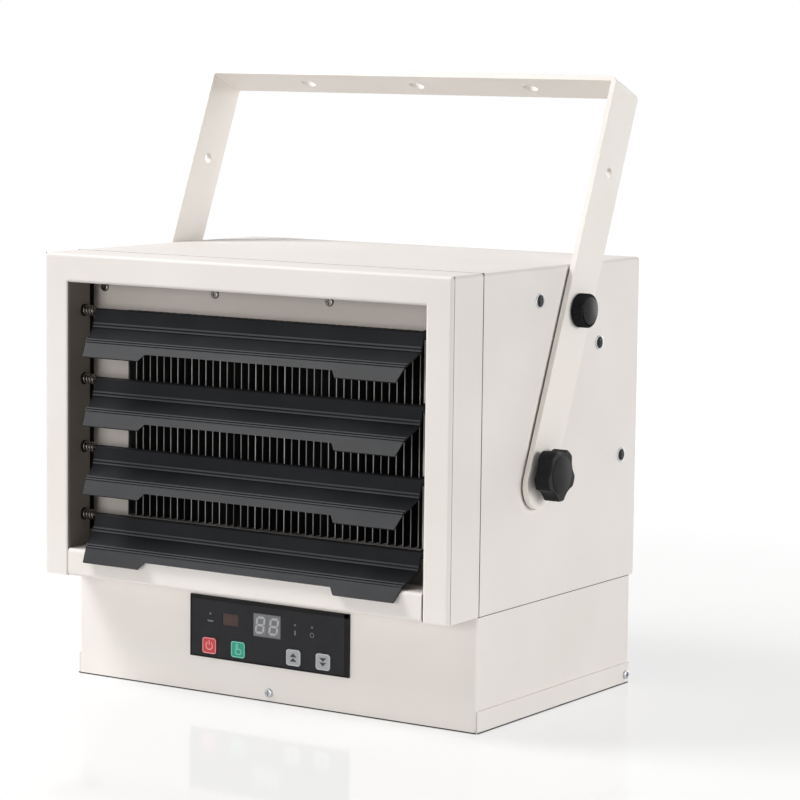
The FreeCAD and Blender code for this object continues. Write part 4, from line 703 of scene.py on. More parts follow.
def carve(piece: Piece, cutter: Piece) -> None:
    """Cut one piece with another and discard the cutter.

    Args:
        piece: The piece that is cut.
        cutter: The tool.
    """
    choose([piece])
    cut = piece.modifiers.new("recess", "BOOLEAN")
    cut.operation = "DIFFERENCE"
    cut.solver = "EXACT"
    cut.object = cutter
    bpy.ops.object.modifier_apply(modifier=cut.name)
    bpy.data.objects.remove(cutter)


def joined(name: str, pieces: Sequence[Piece]) -> Piece:
    """Join pieces into one object.

    Args:
        name: Name of the result.
        pieces: The pieces; the last gives its place.

    Returns:
        The joined object.
    """
    choose(pieces)
    if len(pieces) > 1:
        bpy.ops.object.join()
    return named(name)


def stamp(name: str, master: Piece, places: Iterable[Matrix]) -> Piece:
    """Put copies of a master in their places, each with its own mesh, as one object.

    Args:
        name: Name of the result.
        master: The piece to repeat, which is removed.
        places: One matrix for each copy.

    Returns:
        The copies as one object at the origin.
    """
    copies: list[Piece] = []
    for place in places:
        choose([master])
        bpy.ops.object.duplicate(linked=False)
        copy = bpy.context.object
        copy.matrix_world = place
        copies.append(copy)
    bpy.data.objects.remove(master)
    choose(copies)
    bpy.ops.object.transform_apply(location=True, rotation=True, scale=True)
    return joined(name, copies)


def seat(
    piece: Piece, body: str, finish: Finish, stands_for: Sequence[str] = ()
) -> None:
    """Give a new piece its finish and its body, and hide the nodes that it stands for.

    Args:
        piece: The new piece.
        body: The body that it moves with.
        finish: Its material.
        stands_for: Names of the nodes that it replaces.
    """
    piece.data.materials.clear()
    piece.data.materials.append(finish.make())
    if stands_for:
        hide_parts(*stands_for)
    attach(piece, body)
    log.info("%s rides on %s, %d faces", piece.name, body, len(piece.data.polygons))


def dress(finishes: dict[Finish, tuple[str, ...]]) -> None:
    """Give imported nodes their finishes.

    Args:
        finishes: Node names by finish.
    """
    for finish, nodes in finishes.items():
        for name in nodes:
            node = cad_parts[name]
            node.data.materials.clear()
            node.data.materials.append(finish.make())
            log.info("%s has %s", name, finish.name)


def arc(
    radius: float, start: float, end: float, steps: int, centre: tuple[float, float] = (0.0, 0.0)
) -> Outline:
    """Points along an arc.

    Args:
        radius: Radius in millimetres.
        start: First angle in degrees.
        end: Last angle in degrees.
        steps: Number of chords.
        centre: Centre in millimetres.

    Returns:
        The points, both ends included.
    """
    angles = [math.radians(start + (end - start) * step / steps) for step in range(steps + 1)]
    return [(centre[0] + radius * math.cos(angle), centre[1] + radius * math.sin(angle)) for angle in angles]


def rounded_box(width: float, height: float, radius: float, steps: int = 5) -> Outline:
    """Outline of a rectangle with round corners, centred on the origin.

    Args:
        width: Width in millimetres.
        height: Height in millimetres.
        radius: Corner radius in millimetres.
        steps: Chords in each corner.

    Returns:
        The corners in order.
    """
    across = width / 2 - radius
    up = height / 2 - radius
    points: Outline = []
    for turn, centre in enumerate(((across, up), (-across, up), (-across, -up), (across, -up))):
        points += arc(radius, 90 * turn, 90 * turn + 90, steps, centre)
    return points


def band(radius: float, width: float, start: float, end: float, steps: int) -> Outline:
    """Outline of a curved stroke.

    Args:
        radius: Radius of its middle in millimetres.
        width: Width of the stroke in millimetres.
        start: First angle in degrees.
        end: Last angle in degrees.
        steps: Chords along it.

    Returns:
        The corners in order.
    """
    return arc(radius + width / 2, start, end, steps) + arc(radius - width / 2, end, start, steps)


def circle(radius: float, sides: int) -> Outline:
    """Return the corners of a round outline, from its radius in millimetres."""
    return arc(radius, 0, 360 - 360 / sides, sides - 1)


def moved(outline: Outline, across: float, up: float) -> Outline:
    """Return an outline shifted by millimetres."""
    return [(x + across, y + up) for x, y in outline]


@dataclass
class Cabinet:
    """Painted sheet metal with its plated screws and threaded inserts, and dark strips that paint the shade
    in its seams and insert mouths, in millimetres.
    """

    side: float = 180.0
    top: float = 326.0
    seam: float = -110.0
    base_top: float = 84.0
    base_inset: float = 1.0
    base_length: float = 219.0
    flange: float = 180.2
    baffle_screws: tuple[float, ...] = (-154.0, -51.0, 51.0, 154.0)
    baffle_screw_height: float = 299.0
    tray_screw_depth: float = 105.0
    tray_screw_height: float = 7.0
    head_radius: float = 3.4
    head_height: float = 2.0
    head_round: float = 1.1
    recess_length: float = 4.4
    recess_width: float = 1.1
    recess_corner: float = 0.2
    recess_depth: float = 1.4
    pivot: tuple[float, float] = STRAP_PIVOT
    lock_radius: float = 124.0
    lock_angles: tuple[float, ...] = (0.0, 22.5, 45.0, 90.0)
    insert_flange: float = 5.5
    insert_rise: float = 0.7
    insert_round: float = 0.25
    mouth_radius: float = 4.2
    mouth_depth: float = 1.2
    bore_radius: float = 3.1
    bore_depth: float = 6.8
    barrel_radius: float = 3.9
    barrel_depth: float = 8.9
    ring_radius: float = 4.3
    ring_width: float = 1.25
    ring_rise: float = 0.08
    line_width: float = 0.9
    line_rise: float = 0.05
    line_depth: float = 0.3
    line_corner: float = 0.1
    frame_step: float = 0.3
    edge_width: float = 0.4
    edge_depth: float = -147.6
    corner_size: tuple[float, float] = (7.0, 190.0)
    corner_across: float = 168.5
    corner_height: float = 208.0

    def build(self) -> None:
        """Model the pan heads, the inserts, the dark rings that paint shade in the insert mouths and the
        strips that paint shade in the seams, and put them in place.
        """
        front = [
            Facing.FRONT.at(across, self.seam, self.baffle_screw_height) for across in self.baffle_screws]
        seat(stamp("baffle_pan_heads", self.pan_head(), front), "cabinet", SHADED_NICKEL,
             ["baffle_screws"])
        tray = [
            Facing.FRONT.at(0, self.seam, self.tray_screw_height),
            *both_sides(self.flange, self.tray_screw_depth, self.tray_screw_height),
        ]
        seat(stamp("tray_pan_heads", self.pan_head(), tray), "cabinet", BRIGHT_ZINC,
             ["tray_screws"])
        locks = self.lock_places()
        seat(stamp("lock_inserts", self.insert(), locks), "cabinet", BRIGHT_ZINC,
             ["angle_lock_nuts"])
        # A dark ring round each insert's mouth paints the shade in its countersink.
        ring = hoop("insert_shade_ring", circle(self.ring_radius, sides=36), self.ring_width, self.ring_rise)
        ring.data.transform(Matrix.Translation((0, 0, self.insert_rise * MM)))
        seat(stamp("insert_shade_rings", ring, locks), "cabinet", SHADE_FILL)
        self.build_shade_lines()

    def build_shade_lines(self) -> None:
        """Lay dark strips that paint the shade in the seams of the frame, the shell, the baffle and the base.
        """
        middle = (self.base_top + self.top) / 2
        tall = self.top - self.base_top
        ahead = self.seam + self.frame_step
        half = self.line_width / 2
        inset = self.side - self.base_inset
        corners = [
            Facing.FRONT.at(across, self.seam, self.corner_height)
            for across in (self.corner_across, -self.corner_across)
        ]
        # Painted shade: the frame seam, its top, the base seam, the foot of the base, the frame's corner and
        # the gaps beside the baffle.
        rows = (
            (self.line_width, tall, both_sides(self.side, ahead, middle)),
            (2 * self.side, self.line_width, [Facing.UP.at(0, ahead, self.top)]),
            (self.base_length, self.line_width, both_sides(inset, 0, self.base_top - half)),
            (self.base_length, self.line_width, both_sides(self.flange, 0, half)),
            (2 * inset, self.line_width, [Facing.FRONT.at(0, self.seam, half)]),
            (self.edge_width, tall, both_sides(self.side, self.edge_depth, middle)),
            (*self.corner_size, corners),
        )
        lines = [stamp("painted_shade_strips", self.line(width, height), places) for width, height, places in rows]
        seat(joined("painted_shade_lines", lines), "cabinet", SHADE_FILL)

    def line(self, width: float, height: float) -> Piece:
        """Model a flat strip that stands a little out of the sheet.

        Args:
            width: Width in millimetres.
            height: Height in millimetres.

        Returns:
            The strip round the origin.
        """
        outline = rounded_box(width, height, self.line_corner, steps=1)
        return plate("painted_shade_line", outline, self.line_rise + self.line_depth, -self.line_depth)

    def lock_places(self) -> list[Matrix]:
        """Find the places of the inserts on both sides.

        Returns:
            One matrix for each insert.
        """
        places: list[Matrix] = []
        for angle in self.lock_angles:
            along = self.pivot[0] + self.lock_radius * math.sin(math.radians(angle))
            up = self.pivot[1] + self.lock_radius * math.cos(math.radians(angle))
            places += both_sides(self.side, along, up)
        return places

    def pan_head(self) -> Piece:
        """Model a pan head with a cross recess.

        Returns:
            The head, standing on the origin.
        """
        head = turned("pan_head", self.head_radius, 0, self.head_height, sides=32)
        soften(head, self.head_height, self.head_round, steps=5)
        low = self.head_height - self.recess_depth
        for size in ((self.recess_length, self.recess_width), (self.recess_width, self.recess_length)):
            outline = rounded_box(*size, self.recess_corner, steps=2)
            carve(head, plate("cross_arm", outline, self.recess_depth + CUT_ROOM, low))
        return close_up(head)

    def insert(self) -> Piece:
        """Model a blind threaded insert with its flange.

        Returns:
            The insert, with its flange on the origin.
        """
        insert = turned("insert", self.insert_flange, 0, self.insert_rise, sides=36)
        sink(insert, self.insert_rise, self.insert_flange - self.mouth_radius, self.mouth_depth)
        floor = self.insert_rise - self.mouth_depth
        sink(insert, floor, self.mouth_radius - self.bore_radius, self.bore_depth)
        sink(insert, 0, self.insert_flange - self.barrel_radius, self.barrel_depth)
        soften(insert, self.insert_rise, self.insert_round, steps=2)
        return close_up(insert)

    def dress(self) -> None:
        """Paint the sheet metal and finish what stands behind it."""
        dress({
            FRAME_PAINT: ("front_frame",),
            CABINET_PAINT: ("upper_shell", "front_bottom_rail", "base_shell", "bottom_tray",
                            "rear_panel", "base_rear_panel"),
            SHADED_BAFFLE_PAINT: ("baffle_plate",),
            GALVANISED: ("deck_plate",),
            BRIGHT_ZINC: ("rear_panel_screws", "base_rear_screws", "pivot_nuts"),
            NYLON: ("pivot_washers",),
            GLAND_NYLON: ("cable_gland",),
        })


@dataclass
class Louvres:
    """Four tilting blades on pivot screws with springs, in millimetres."""

    count: int = 4
    pivot_depth: float = PIVOT_DEPTH
    first_height: float = FIRST_PIVOT
    pitch: float = PIVOT_PITCH
    wall: float = -157.8
    spring_start: float = -157.0
    spring_end: float = -146.3
    coil_radius: float = 3.4
    wire: float = 1.0
    wire_sides: int = 10
    turns: int = 4
    turn_steps: int = 24
    spring_smooth: float = 50.0
    bush_radius: float = 4.6
    bush_rise: float = 0.7
    bush_round: float = 0.3
    bush_bore: float = 1.7

    def build(self) -> None:
        """Wind the springs on the left pivot screws and set the bushes in the wall beside them."""
        heights = [self.first_height - row * self.pitch for row in range(self.count)]
        axes = [Matrix.Translation(Vector((0, self.pivot_depth, height)) * MM) for height in heights]
        seat(stamp("louvre_springs", self.spring(), axes), "cabinet", SHADED_SPRING_WIRE,
             ["pivot_springs"])
        walls = [Facing.RIGHT.at(self.wall, self.pivot_depth, height) for height in heights]
        seat(stamp("pivot_bushes", self.bush(), walls), "cabinet", KNOB_BLACK)

    def bush(self) -> Piece:
        """Model the flange of a bush, with the bore for its screw.

        Returns:
            The flange, standing on the origin.
        """
        flange = turned("bush", self.bush_radius, 0, self.bush_rise, sides=32)
        soften(flange, self.bush_rise, self.bush_round, steps=3)
        carve(flange, turned("bush_bore", self.bush_bore, -CUT_ROOM, self.bush_rise + CUT_ROOM, sides=24))
        return close_up(flange)

    def spring(self) -> Piece:
        """Wind one round wire along X.

        Returns:
            The spring on the axis of its screw.
        """
        bpy.ops.object.select_all(action="DESELECT")
        bpy.ops.mesh.primitive_circle_add(
            vertices=self.wire_sides, radius=self.wire / 2 * MM, fill_type="NOTHING")
        wire = named("spring_wire")
        wire.matrix_world = Matrix.Translation(Vector((self.spring_start, self.coil_radius, 0)) * MM)
        bpy.ops.object.transform_apply(location=True, rotation=True, scale=True)
        winding = wire.modifiers.new("winding", "SCREW")
        winding.axis = "X"
        winding.screw_offset = (self.spring_end - self.spring_start) / self.turns * MM
        winding.iterations = self.turns
        winding.steps = winding.render_steps = self.turn_steps
        bpy.ops.object.modifier_apply(modifier=winding.name)
        bpy.ops.object.mode_set(mode="EDIT")
        bpy.ops.mesh.select_all(action="DESELECT")
        bpy.ops.mesh.select_mode(type="EDGE")
        bpy.ops.mesh.select_non_manifold()
        bpy.ops.mesh.edge_face_add()
        bpy.ops.object.mode_set(mode="OBJECT")
        return close_up(wire, self.spring_smooth)

    def dress(self) -> None:
        """Finish the blades and their screws."""
        rows = range(1, self.count + 1)
        dress({
            LOUVRE_BLACK: tuple(f"louvre_{row}" for row in rows),
            SHADED_NICKEL: tuple(f"louvre_{row}_pins" for row in rows),
            KNOB_BLACK: ("pivot_spacers",),
        })


@dataclass
class Element:
    """Finned heating element and its limit thermostat."""

    tubes: int = 3

    def dress(self) -> None:
        """Finish the fins, the tubes and the end plates."""
        dress({
            FIN_METAL: ("fin_pack",),
            TUBE_SHEATH: tuple(f"heating_tube_{number}" for number in range(1, self.tubes + 1)),
            GALVANISED: ("element_plate_right", "element_plate_left"),
            COMPONENT_BLACK: ("thermal_cutout",),
        })


@dataclass
class Fan:
    """Axial fan with its motor."""

    def dress(self) -> None:
        """Finish the blades, the motor and its bracket."""
        dress({
            FAN_ALUMINIUM: ("fan_blade",),
            MOTOR_CORE: ("fan_motor",),
            BRIGHT_ZINC: ("motor_shaft", "motor_screws"),
            GALVANISED: ("motor_bracket",),
        })


class Sign(Enum):
    """What is printed on a key."""

    POWER = "open ring with a stroke"
    HEAT = "fist with a raised finger"
    UP = "two arrows that point up"
    DOWN = "two arrows that point down"


@dataclass(frozen=True)
class Key:
    """A key with its place across the panel in millimetres, its material slot and its prints."""

    name: str
    across: float
    slot: str
    sign: Sign
    rim_ink: Finish
    sign_ink: Finish


KEYS = (
    Key("power", -53.4, "key_red", Sign.POWER, PRINT_PINK, PRINT_PINK),
    Key("heat", -27.0, "key_green", Sign.HEAT, PRINT_MINT, PRINT_MINT),
    Key("up", 23.0, "key_grey", Sign.UP, PRINT_PALE, PRINT_DARK),
    Key("down", 49.3, "key_grey", Sign.DOWN, PRINT_PALE, PRINT_DARK),
)


@dataclass
class ControlPanel:
    """Control panel with its keys, display and receiver, in millimetres.

    Boxes are given as width, height and corner radius.
    """

    face: float = -111.6
    centre_height: float = 50.6
    width: float = 143.2
    height: float = 46.8
    borders: tuple[float, float, float, float] = (3.4, 4.2, 1.4, 1.2)
    border_rise: float = 0.25
    border_round: float = 0.15
    border_corner: float = 0.4
    display: Point = (-1.5, -111.3, 57.05)
    block_across: float = 6.1
    block: Point = (11.6, 16.4, 0.6)
    layer: float = 0.05
    digit_width: float = 6.6
    digit_height: float = 11.4
    digit_stroke: float = 1.7
    level_gap: float = 0.6
    upright_gap: float = 0.5
    digit_lean: float = 8.0
    mark_places: Point = (-53.0, 24.0, 39.0)
    dot_height: float = 60.7
    dot_radius: float = 0.8
    bar_height: float = 55.2
    bar: Point = (5.2, 1.2, 0.3)
    post_height: float = 54.9
    post: Point = (1.2, 3.6, 0.3)
    loop_radius: float = 1.8
    loop_width: float = 0.5
    mark_depth: float = 0.06
    key_face: float = -112.4
    key_height: float = 36.5
    key_size: Point = (12.3, 11.8, 1.9)
    key_rim_width: float = 0.6
    key_rim_depth: float = 0.1
    sign_depth: float = 0.08
    ring_radius: float = 2.9
    ring_stroke: float = 0.75
    ring_angles: tuple[float, float] = (125.0, 415.0)
    stroke: Point = (0.75, 3.6, 0.3)
    stroke_height: float = 2.3
    fist: Point = (5.4, 4.4, 1.5)
    fist_place: tuple[float, float] = (0.4, -1.5)
    fist_stroke: float = 0.65
    finger: Point = (2.0, 4.6, 0.9)
    finger_place: tuple[float, float] = (-0.9, 1.9)
    finger_stroke: float = 0.6
    arrow_half: float = 3.1
    arrow_foot: float = 1.2
    arrow_tip: float = 1.7
    arrow_heights: tuple[float, float] = (-1.8, 1.6)

    def build(self) -> None:
        """Model the rim, the digits, the printed marks and the tops of the keys."""
        seat(self.rim(), "cabinet", PANEL_SHADE_RIM)
        self.build_digits()
        self.build_marks()
        self.build_keys()

    def rim(self) -> Piece:
        """Model the raised border of the panel, broad at the top and at the right, where it paints a dark
        band of shade.

        Returns:
            The border in place.
        """
        top, right, bottom, left = self.borders
        half, rise = self.width / 2, self.height / 2
        bars: list[Piece] = []
        for width, height, across, up in (
            (self.width, top, 0.0, rise - top / 2),
            (self.width, bottom, 0.0, bottom / 2 - rise),
            (right, self.height, half - right / 2, 0.0),
            (left, self.height, left / 2 - half, 0.0),
        ):
            bar = plate("border", rounded_box(width, height, self.border_corner, steps=3), self.border_rise)
            soften(bar, self.border_rise, self.border_round, steps=2)
            place = Facing.FRONT.at(across, self.face, self.centre_height + up)
            bars.append(stamp("border", close_up(bar), [place]))
        return joined("panel_rim", bars)

    def build_digits(self) -> None:
        """Model the two digit blocks and their segments."""
        across, along, up = self.display
        sides = (across - self.block_across, across + self.block_across)
        block = plate("digit_block", rounded_box(*self.block, steps=3), self.layer)
        places = [Facing.FRONT.at(side, along, up) for side in sides]
        seat(stamp("digit_blocks", block, places), "cabinet", DISPLAY_BLOCK)
        places = [Facing.FRONT.at(side, along - self.layer, up) for side in sides]
        seat(stamp("digit_segments", self.eight(), places), "cabinet", DISPLAY_SEGMENT)

    def eight(self) -> Piece:
        """Model the seven segments of a leaning figure eight.

        Returns:
            The segments round the origin.
        """
        width, height = self.digit_width, self.digit_height
        places = [Matrix.Translation(Vector((0, row * height / 2, 0)) * MM) for row in (-1, 0, 1)]
        level_bars = stamp("level_segments", self.segment(width - self.level_gap), places)
        quarter = Matrix.Rotation(math.pi / 2, 4, "Z")
        places = [
            Matrix.Translation(Vector((side * width / 2, row * height / 4, 0)) * MM) @ quarter
            for side in (-1, 1) for row in (-1, 1)
        ]
        upright_bars = stamp("upright_segments", self.segment(height / 2 - self.upright_gap), places)
        digit = joined("digit", [level_bars, upright_bars])
        lean = Matrix.Identity(4)
        lean[0][1] = math.tan(math.radians(self.digit_lean))
        digit.data.transform(lean)
        return digit

    def segment(self, length: float) -> Piece:
        """Model one pointed segment along X.

        Args:
            length: Length in millimetres.

        Returns:
            The segment.
        """
        tip, half = length / 2, self.digit_stroke / 2
        side = tip - half
        outline = [(tip, 0), (side, half), (-side, half), (-tip, 0), (-side, -half), (side, -half)]
        return plate("segment", outline, self.layer)

    def build_marks(self) -> None:
        """Print the small marks above the keys."""
        left, middle, right = self.mark_places
        dot = plate("mark_dot", circle(self.dot_radius, sides=24), self.mark_depth)
        bar = plate("mark_bar", rounded_box(*self.bar, steps=2), self.mark_depth)
        post = plate("mark_post", rounded_box(*self.post, steps=2), self.mark_depth)
        loop = hoop("mark_loop", circle(self.loop_radius, sides=24), self.loop_width, self.mark_depth)
        dots = [Facing.FRONT.at(across, self.face, self.dot_height) for across in self.mark_places]
        marks = [
            stamp("dots", dot, dots),
            stamp("bar", bar, [Facing.FRONT.at(left, self.face, self.bar_height)]),
            stamp("post", post, [Facing.FRONT.at(middle, self.face, self.post_height)]),
            stamp("loop", loop, [Facing.FRONT.at(right, self.face, self.post_height)]),
        ]
        seat(joined("panel_marks", marks), "cabinet", PRINT_GREY)

    def build_keys(self) -> None:
        """Print the rim and the sign of each key, which move with it."""
        for key in KEYS:
            body = f"{key.name}_key"
            place = [Facing.FRONT.at(key.across, self.key_face, self.key_height)]
            outline = rounded_box(*self.key_size, steps=4)
            rim = hoop(f"{body}_rim", outline, self.key_rim_width, self.key_rim_depth)
            seat(stamp(f"{body}_rim", rim, place), body, key.rim_ink)
            seat(stamp(f"{body}_sign", self.sign(key.sign), place), body, key.sign_ink)

    def sign(self, sign: Sign) -> Piece:
        """Model the sign on a key.

        Args:
            sign: Which sign.

        Returns:
            The sign round the origin.
        """
        depth = self.sign_depth
        if sign is Sign.POWER:
            ring = plate("ring", band(self.ring_radius, self.ring_stroke, *self.ring_angles, steps=28), depth)
            stroke = moved(rounded_box(*self.stroke, steps=3), 0, self.stroke_height)
            return joined("power_sign", [ring, plate("stroke", stroke, depth)])
        if sign is Sign.HEAT:
            fist = hoop("fist", moved(rounded_box(*self.fist), *self.fist_place), self.fist_stroke, depth)
            outline = moved(rounded_box(*self.finger), *self.finger_place)
            return joined("heat_sign", [fist, hoop("finger", outline, self.finger_stroke, depth)])
        way = 1 if sign is Sign.UP else -1
        arrows: list[Piece] = []
        for height in self.arrow_heights:
            foot, tip = way * (height - self.arrow_foot), way * (height + self.arrow_tip)
            outline = [(-self.arrow_half, foot), (self.arrow_half, foot), (0, tip)]
            arrows.append(plate("arrow", outline, depth))
        return joined("arrow_sign", arrows)

    def dress(self) -> None:
        """Finish the panel, the keys and the boards behind them."""
        dress({
            PANEL_BLACK: ("control_fascia",),
            DISPLAY_LENS: ("display_module",),
            RECEIVER_LENS: ("receiver_window",),
            KEY_RED: ("power_button",),
            KEY_GREEN: ("heat_button",),
            KEY_GREY: ("up_button", "down_button"),
            CIRCUIT_BOARD: ("control_board", "power_board"),
            COMPONENT_BLACK: ("key_switches", "relays"),
            NYLON: ("board_posts", "power_board_posts"),
            TERMINAL_WHITE: ("terminal_block",),
        })


@dataclass
class Hanger:
    """Hanging strap with its star knobs and lock knobs, in millimetres and degrees."""

    knob_face: float = 185.5
    pivot: tuple[float, float] = STRAP_PIVOT
    lock: tuple[float, float] = (14.45, 292.56)
    lean: float = 22.5
    strap: float = 180.78
    felt_half: float = 18.2
    felt_tail: float = 8.0
    felt_reach: float = 150.0
    felt_width: float = 2.0
    felt_depth: float = 0.4
    star_radius: float = 19.2
    star_height: float = 15.6
    star_round: float = 1.1
    star_foot_round: float = 0.8
    star_steps: int = 180
    lobes: int = 5
    lobe_angle: float = 53.0
    lobe_softness: float = 2.4
    scallop_radius: float = 16.0
    scallop_reach: float = 32.0
    beyond: float = 99.0
    hub_radius: float = 9.0
    hub_height: float = 3.5
    star_stud: float = 4.0
    star_stud_length: float = 15.0
    star_stud_round: float = 0.8
    star_cap_radius: float = 13.4
    star_cap_rise: float = 0.4
    star_cap_round: float = 0.3
    lock_radius: float = 12.5
    lock_height: float = 9.5
    lock_round: float = 1.5
    lock_foot_round: float = 0.5
    lock_smooth: float = 40.0
    ridges: int = 36
    ridge_steps: int = 5
    ridge_depth: float = 0.45
    lock_stud: float = 3.0
    lock_stud_length: float = 3.8
    lock_stud_round: float = 0.5
    lock_cap_radius: float = 10.2
    lock_cap_sink: float = 0.2
    lock_cap_rise: float = 0.15
    lock_cap_round: float = 0.12

    def build(self) -> None:
        """Model the knobs on both sides and the felt that paints the shadow under the strap."""
        knobs = (
            ("star", self.pivot, self.star_grip, self.star_cap),
            ("lock", self.lock, self.lock_grip, self.lock_cap),
        )
        for side, facing, sign in (("right", Facing.RIGHT, 1), ("left", Facing.LEFT, -1)):
            for knob, spot, grip, cap in knobs:
                body = f"{knob}_{side}"
                place = [facing.at(sign * self.knob_face, *spot)]
                seat(stamp(f"{body}_grip", grip(), place), body, KNOB_BLACK,
                     [f"{knob}_knob_{side}"])
                seat(stamp(f"{body}_cap", cap(), place), body, KNOB_FACE)
        lean = math.radians(self.lean)
        right, left = both_sides(self.strap, *self.pivot)
        felts = [right @ Matrix.Rotation(-lean, 4, "Z"), left @ Matrix.Rotation(lean, 4, "Z")]
        seat(stamp("strap_shade_felts", self.felt(), felts), "bracket", STRAP_SHADE_FELT)

    def felt(self) -> Piece:
        """Cut the felt that paints the shadow under the edge of a strap leg.

        Returns:
            The felt, with the pivot on the origin and the leg upright.
        """
        half, reach = self.felt_half, self.felt_reach
        outline = arc(half, 180, 360, 28, (0.0, -self.felt_tail)) + [(half, reach), (-half, reach)]
        return hoop("felt", outline, self.felt_width, self.felt_depth)

    def star_outline(self) -> Outline:
        """Draw the smooth outline of the lobes and scallops.

        Returns:
            The corners in order.
        """
        points: Outline = []
        share = 360 / self.lobes
        for step in range(self.star_steps):
            angle = step * 360 / self.star_steps
            off = math.radians((angle - self.lobe_angle) % share - share / 2)
            rise = self.scallop_reach * math.sin(off)
            # A ray that misses the scallop meets only the round rim.
            reach = self.beyond
            if abs(rise) < self.scallop_radius:
                reach = self.scallop_reach * math.cos(off) - math.sqrt(self.scallop_radius ** 2 - rise ** 2)
            soft = self.lobe_softness
            radius = -math.log(math.exp(-soft * self.star_radius) + math.exp(-soft * reach)) / soft
            points.append((radius * math.cos(math.radians(angle)), radius * math.sin(math.radians(angle))))
        return points

    def star_grip(self) -> Piece:
        """Model the lobed head on its hub, with its stud.

        Returns:
            The knob, with its hub on the origin.
        """
        head = plate("star_head", self.star_outline(), self.star_height - self.hub_height, self.hub_height)
        soften(head, self.star_height, self.star_round, steps=4)
        soften(head, self.hub_height, self.star_foot_round, steps=3)
        hub = turned("star_hub", self.hub_radius, 0, self.hub_height)
        stud = turned("star_stud", self.star_stud, -self.star_stud_length, 0)
        soften(stud, -self.star_stud_length, self.star_stud_round, steps=2)
        return close_up(joined("star_grip", [close_up(hub), close_up(stud), close_up(head)]))

    def star_cap(self) -> Piece:
        """Model the round cap on the head.

        Returns:
            The cap in the knob's frame.
        """
        top = self.star_height + self.star_cap_rise
        cap = turned("star_cap", self.star_cap_radius, self.star_height, top, sides=64)
        soften(cap, top, self.star_cap_round, steps=3)
        return close_up(cap)

    def lock_grip(self) -> Piece:
        """Model the knurled head with its stud.

        Returns:
            The knob, standing on the origin.
        """
        steps = self.ridges * self.ridge_steps
        outline: Outline = []
        for step in range(steps):
            angle = 2 * math.pi * step / steps
            radius = self.lock_radius + self.ridge_depth * (math.cos(self.ridges * angle) - 1)
            outline.append((radius * math.cos(angle), radius * math.sin(angle)))
        head = plate("lock_head", outline, self.lock_height)
        soften(head, self.lock_height, self.lock_round, steps=3)
        soften(head, 0, self.lock_foot_round, steps=2)
        stud = turned("lock_stud", self.lock_stud, -self.lock_stud_length, 0)
        soften(stud, -self.lock_stud_length, self.lock_stud_round, steps=2)
        return close_up(joined("lock_grip", [close_up(stud), close_up(head)]), self.lock_smooth)

    def lock_cap(self) -> Piece:
        """Model the smooth face of the lock knob.

        Returns:
            The face in the knob's frame.
        """
        low, top = self.lock_height - self.lock_cap_sink, self.lock_height + self.lock_cap_rise
        cap = turned("lock_cap", self.lock_cap_radius, low, top, sides=64)
        soften(cap, top, self.lock_cap_round, steps=2)
        return close_up(cap)

    def dress(self) -> None:
        """Paint the strap."""
        dress({LIT_BRACKET_PAINT: ("hanger_bracket",)})


@dataclass(frozen=True)
class Lamp:
    """A square soft lamp, with its places and its side in metres and its power in watts."""

    name: str
    spot: Point
    aim: Point
    side: float
    power: float

    def hang(self) -> None:
        """Hang the lamp in its place, turned to its aim."""
        data = bpy.data.lights.new(self.name, "AREA")
        data.size = self.side
        data.energy = self.power
        lamp = bpy.data.objects.new(self.name, data)
        turn = (Vector(self.aim) - Vector(self.spot)).to_track_quat("-Z", "Y").to_matrix().to_4x4()
        lamp.matrix_world = Matrix.Translation(self.spot) @ turn
        bpy.context.scene.collection.objects.link(lamp)


# A key high on the left, a low fill in front, and low soft lamps at the right and behind.
LAMPS = (
    Lamp("key_high_left", (-1.3, -0.85, 2.0), (0.0, -0.1, 0.25), 1.0, 50.0),
    Lamp("fill_front", (0.0, -2.4, 0.22), (0.0, -0.1, 0.2), 1.2, 28.0),
    Lamp("side_right", (2.5, 0.5, 0.5), (0.1, 0.0, 0.2), 1.0, 32.5),
    Lamp("back_soft", (0.35, 2.4, 0.4), (0.0, 0.1, 0.2), 0.8, 14.0),
)


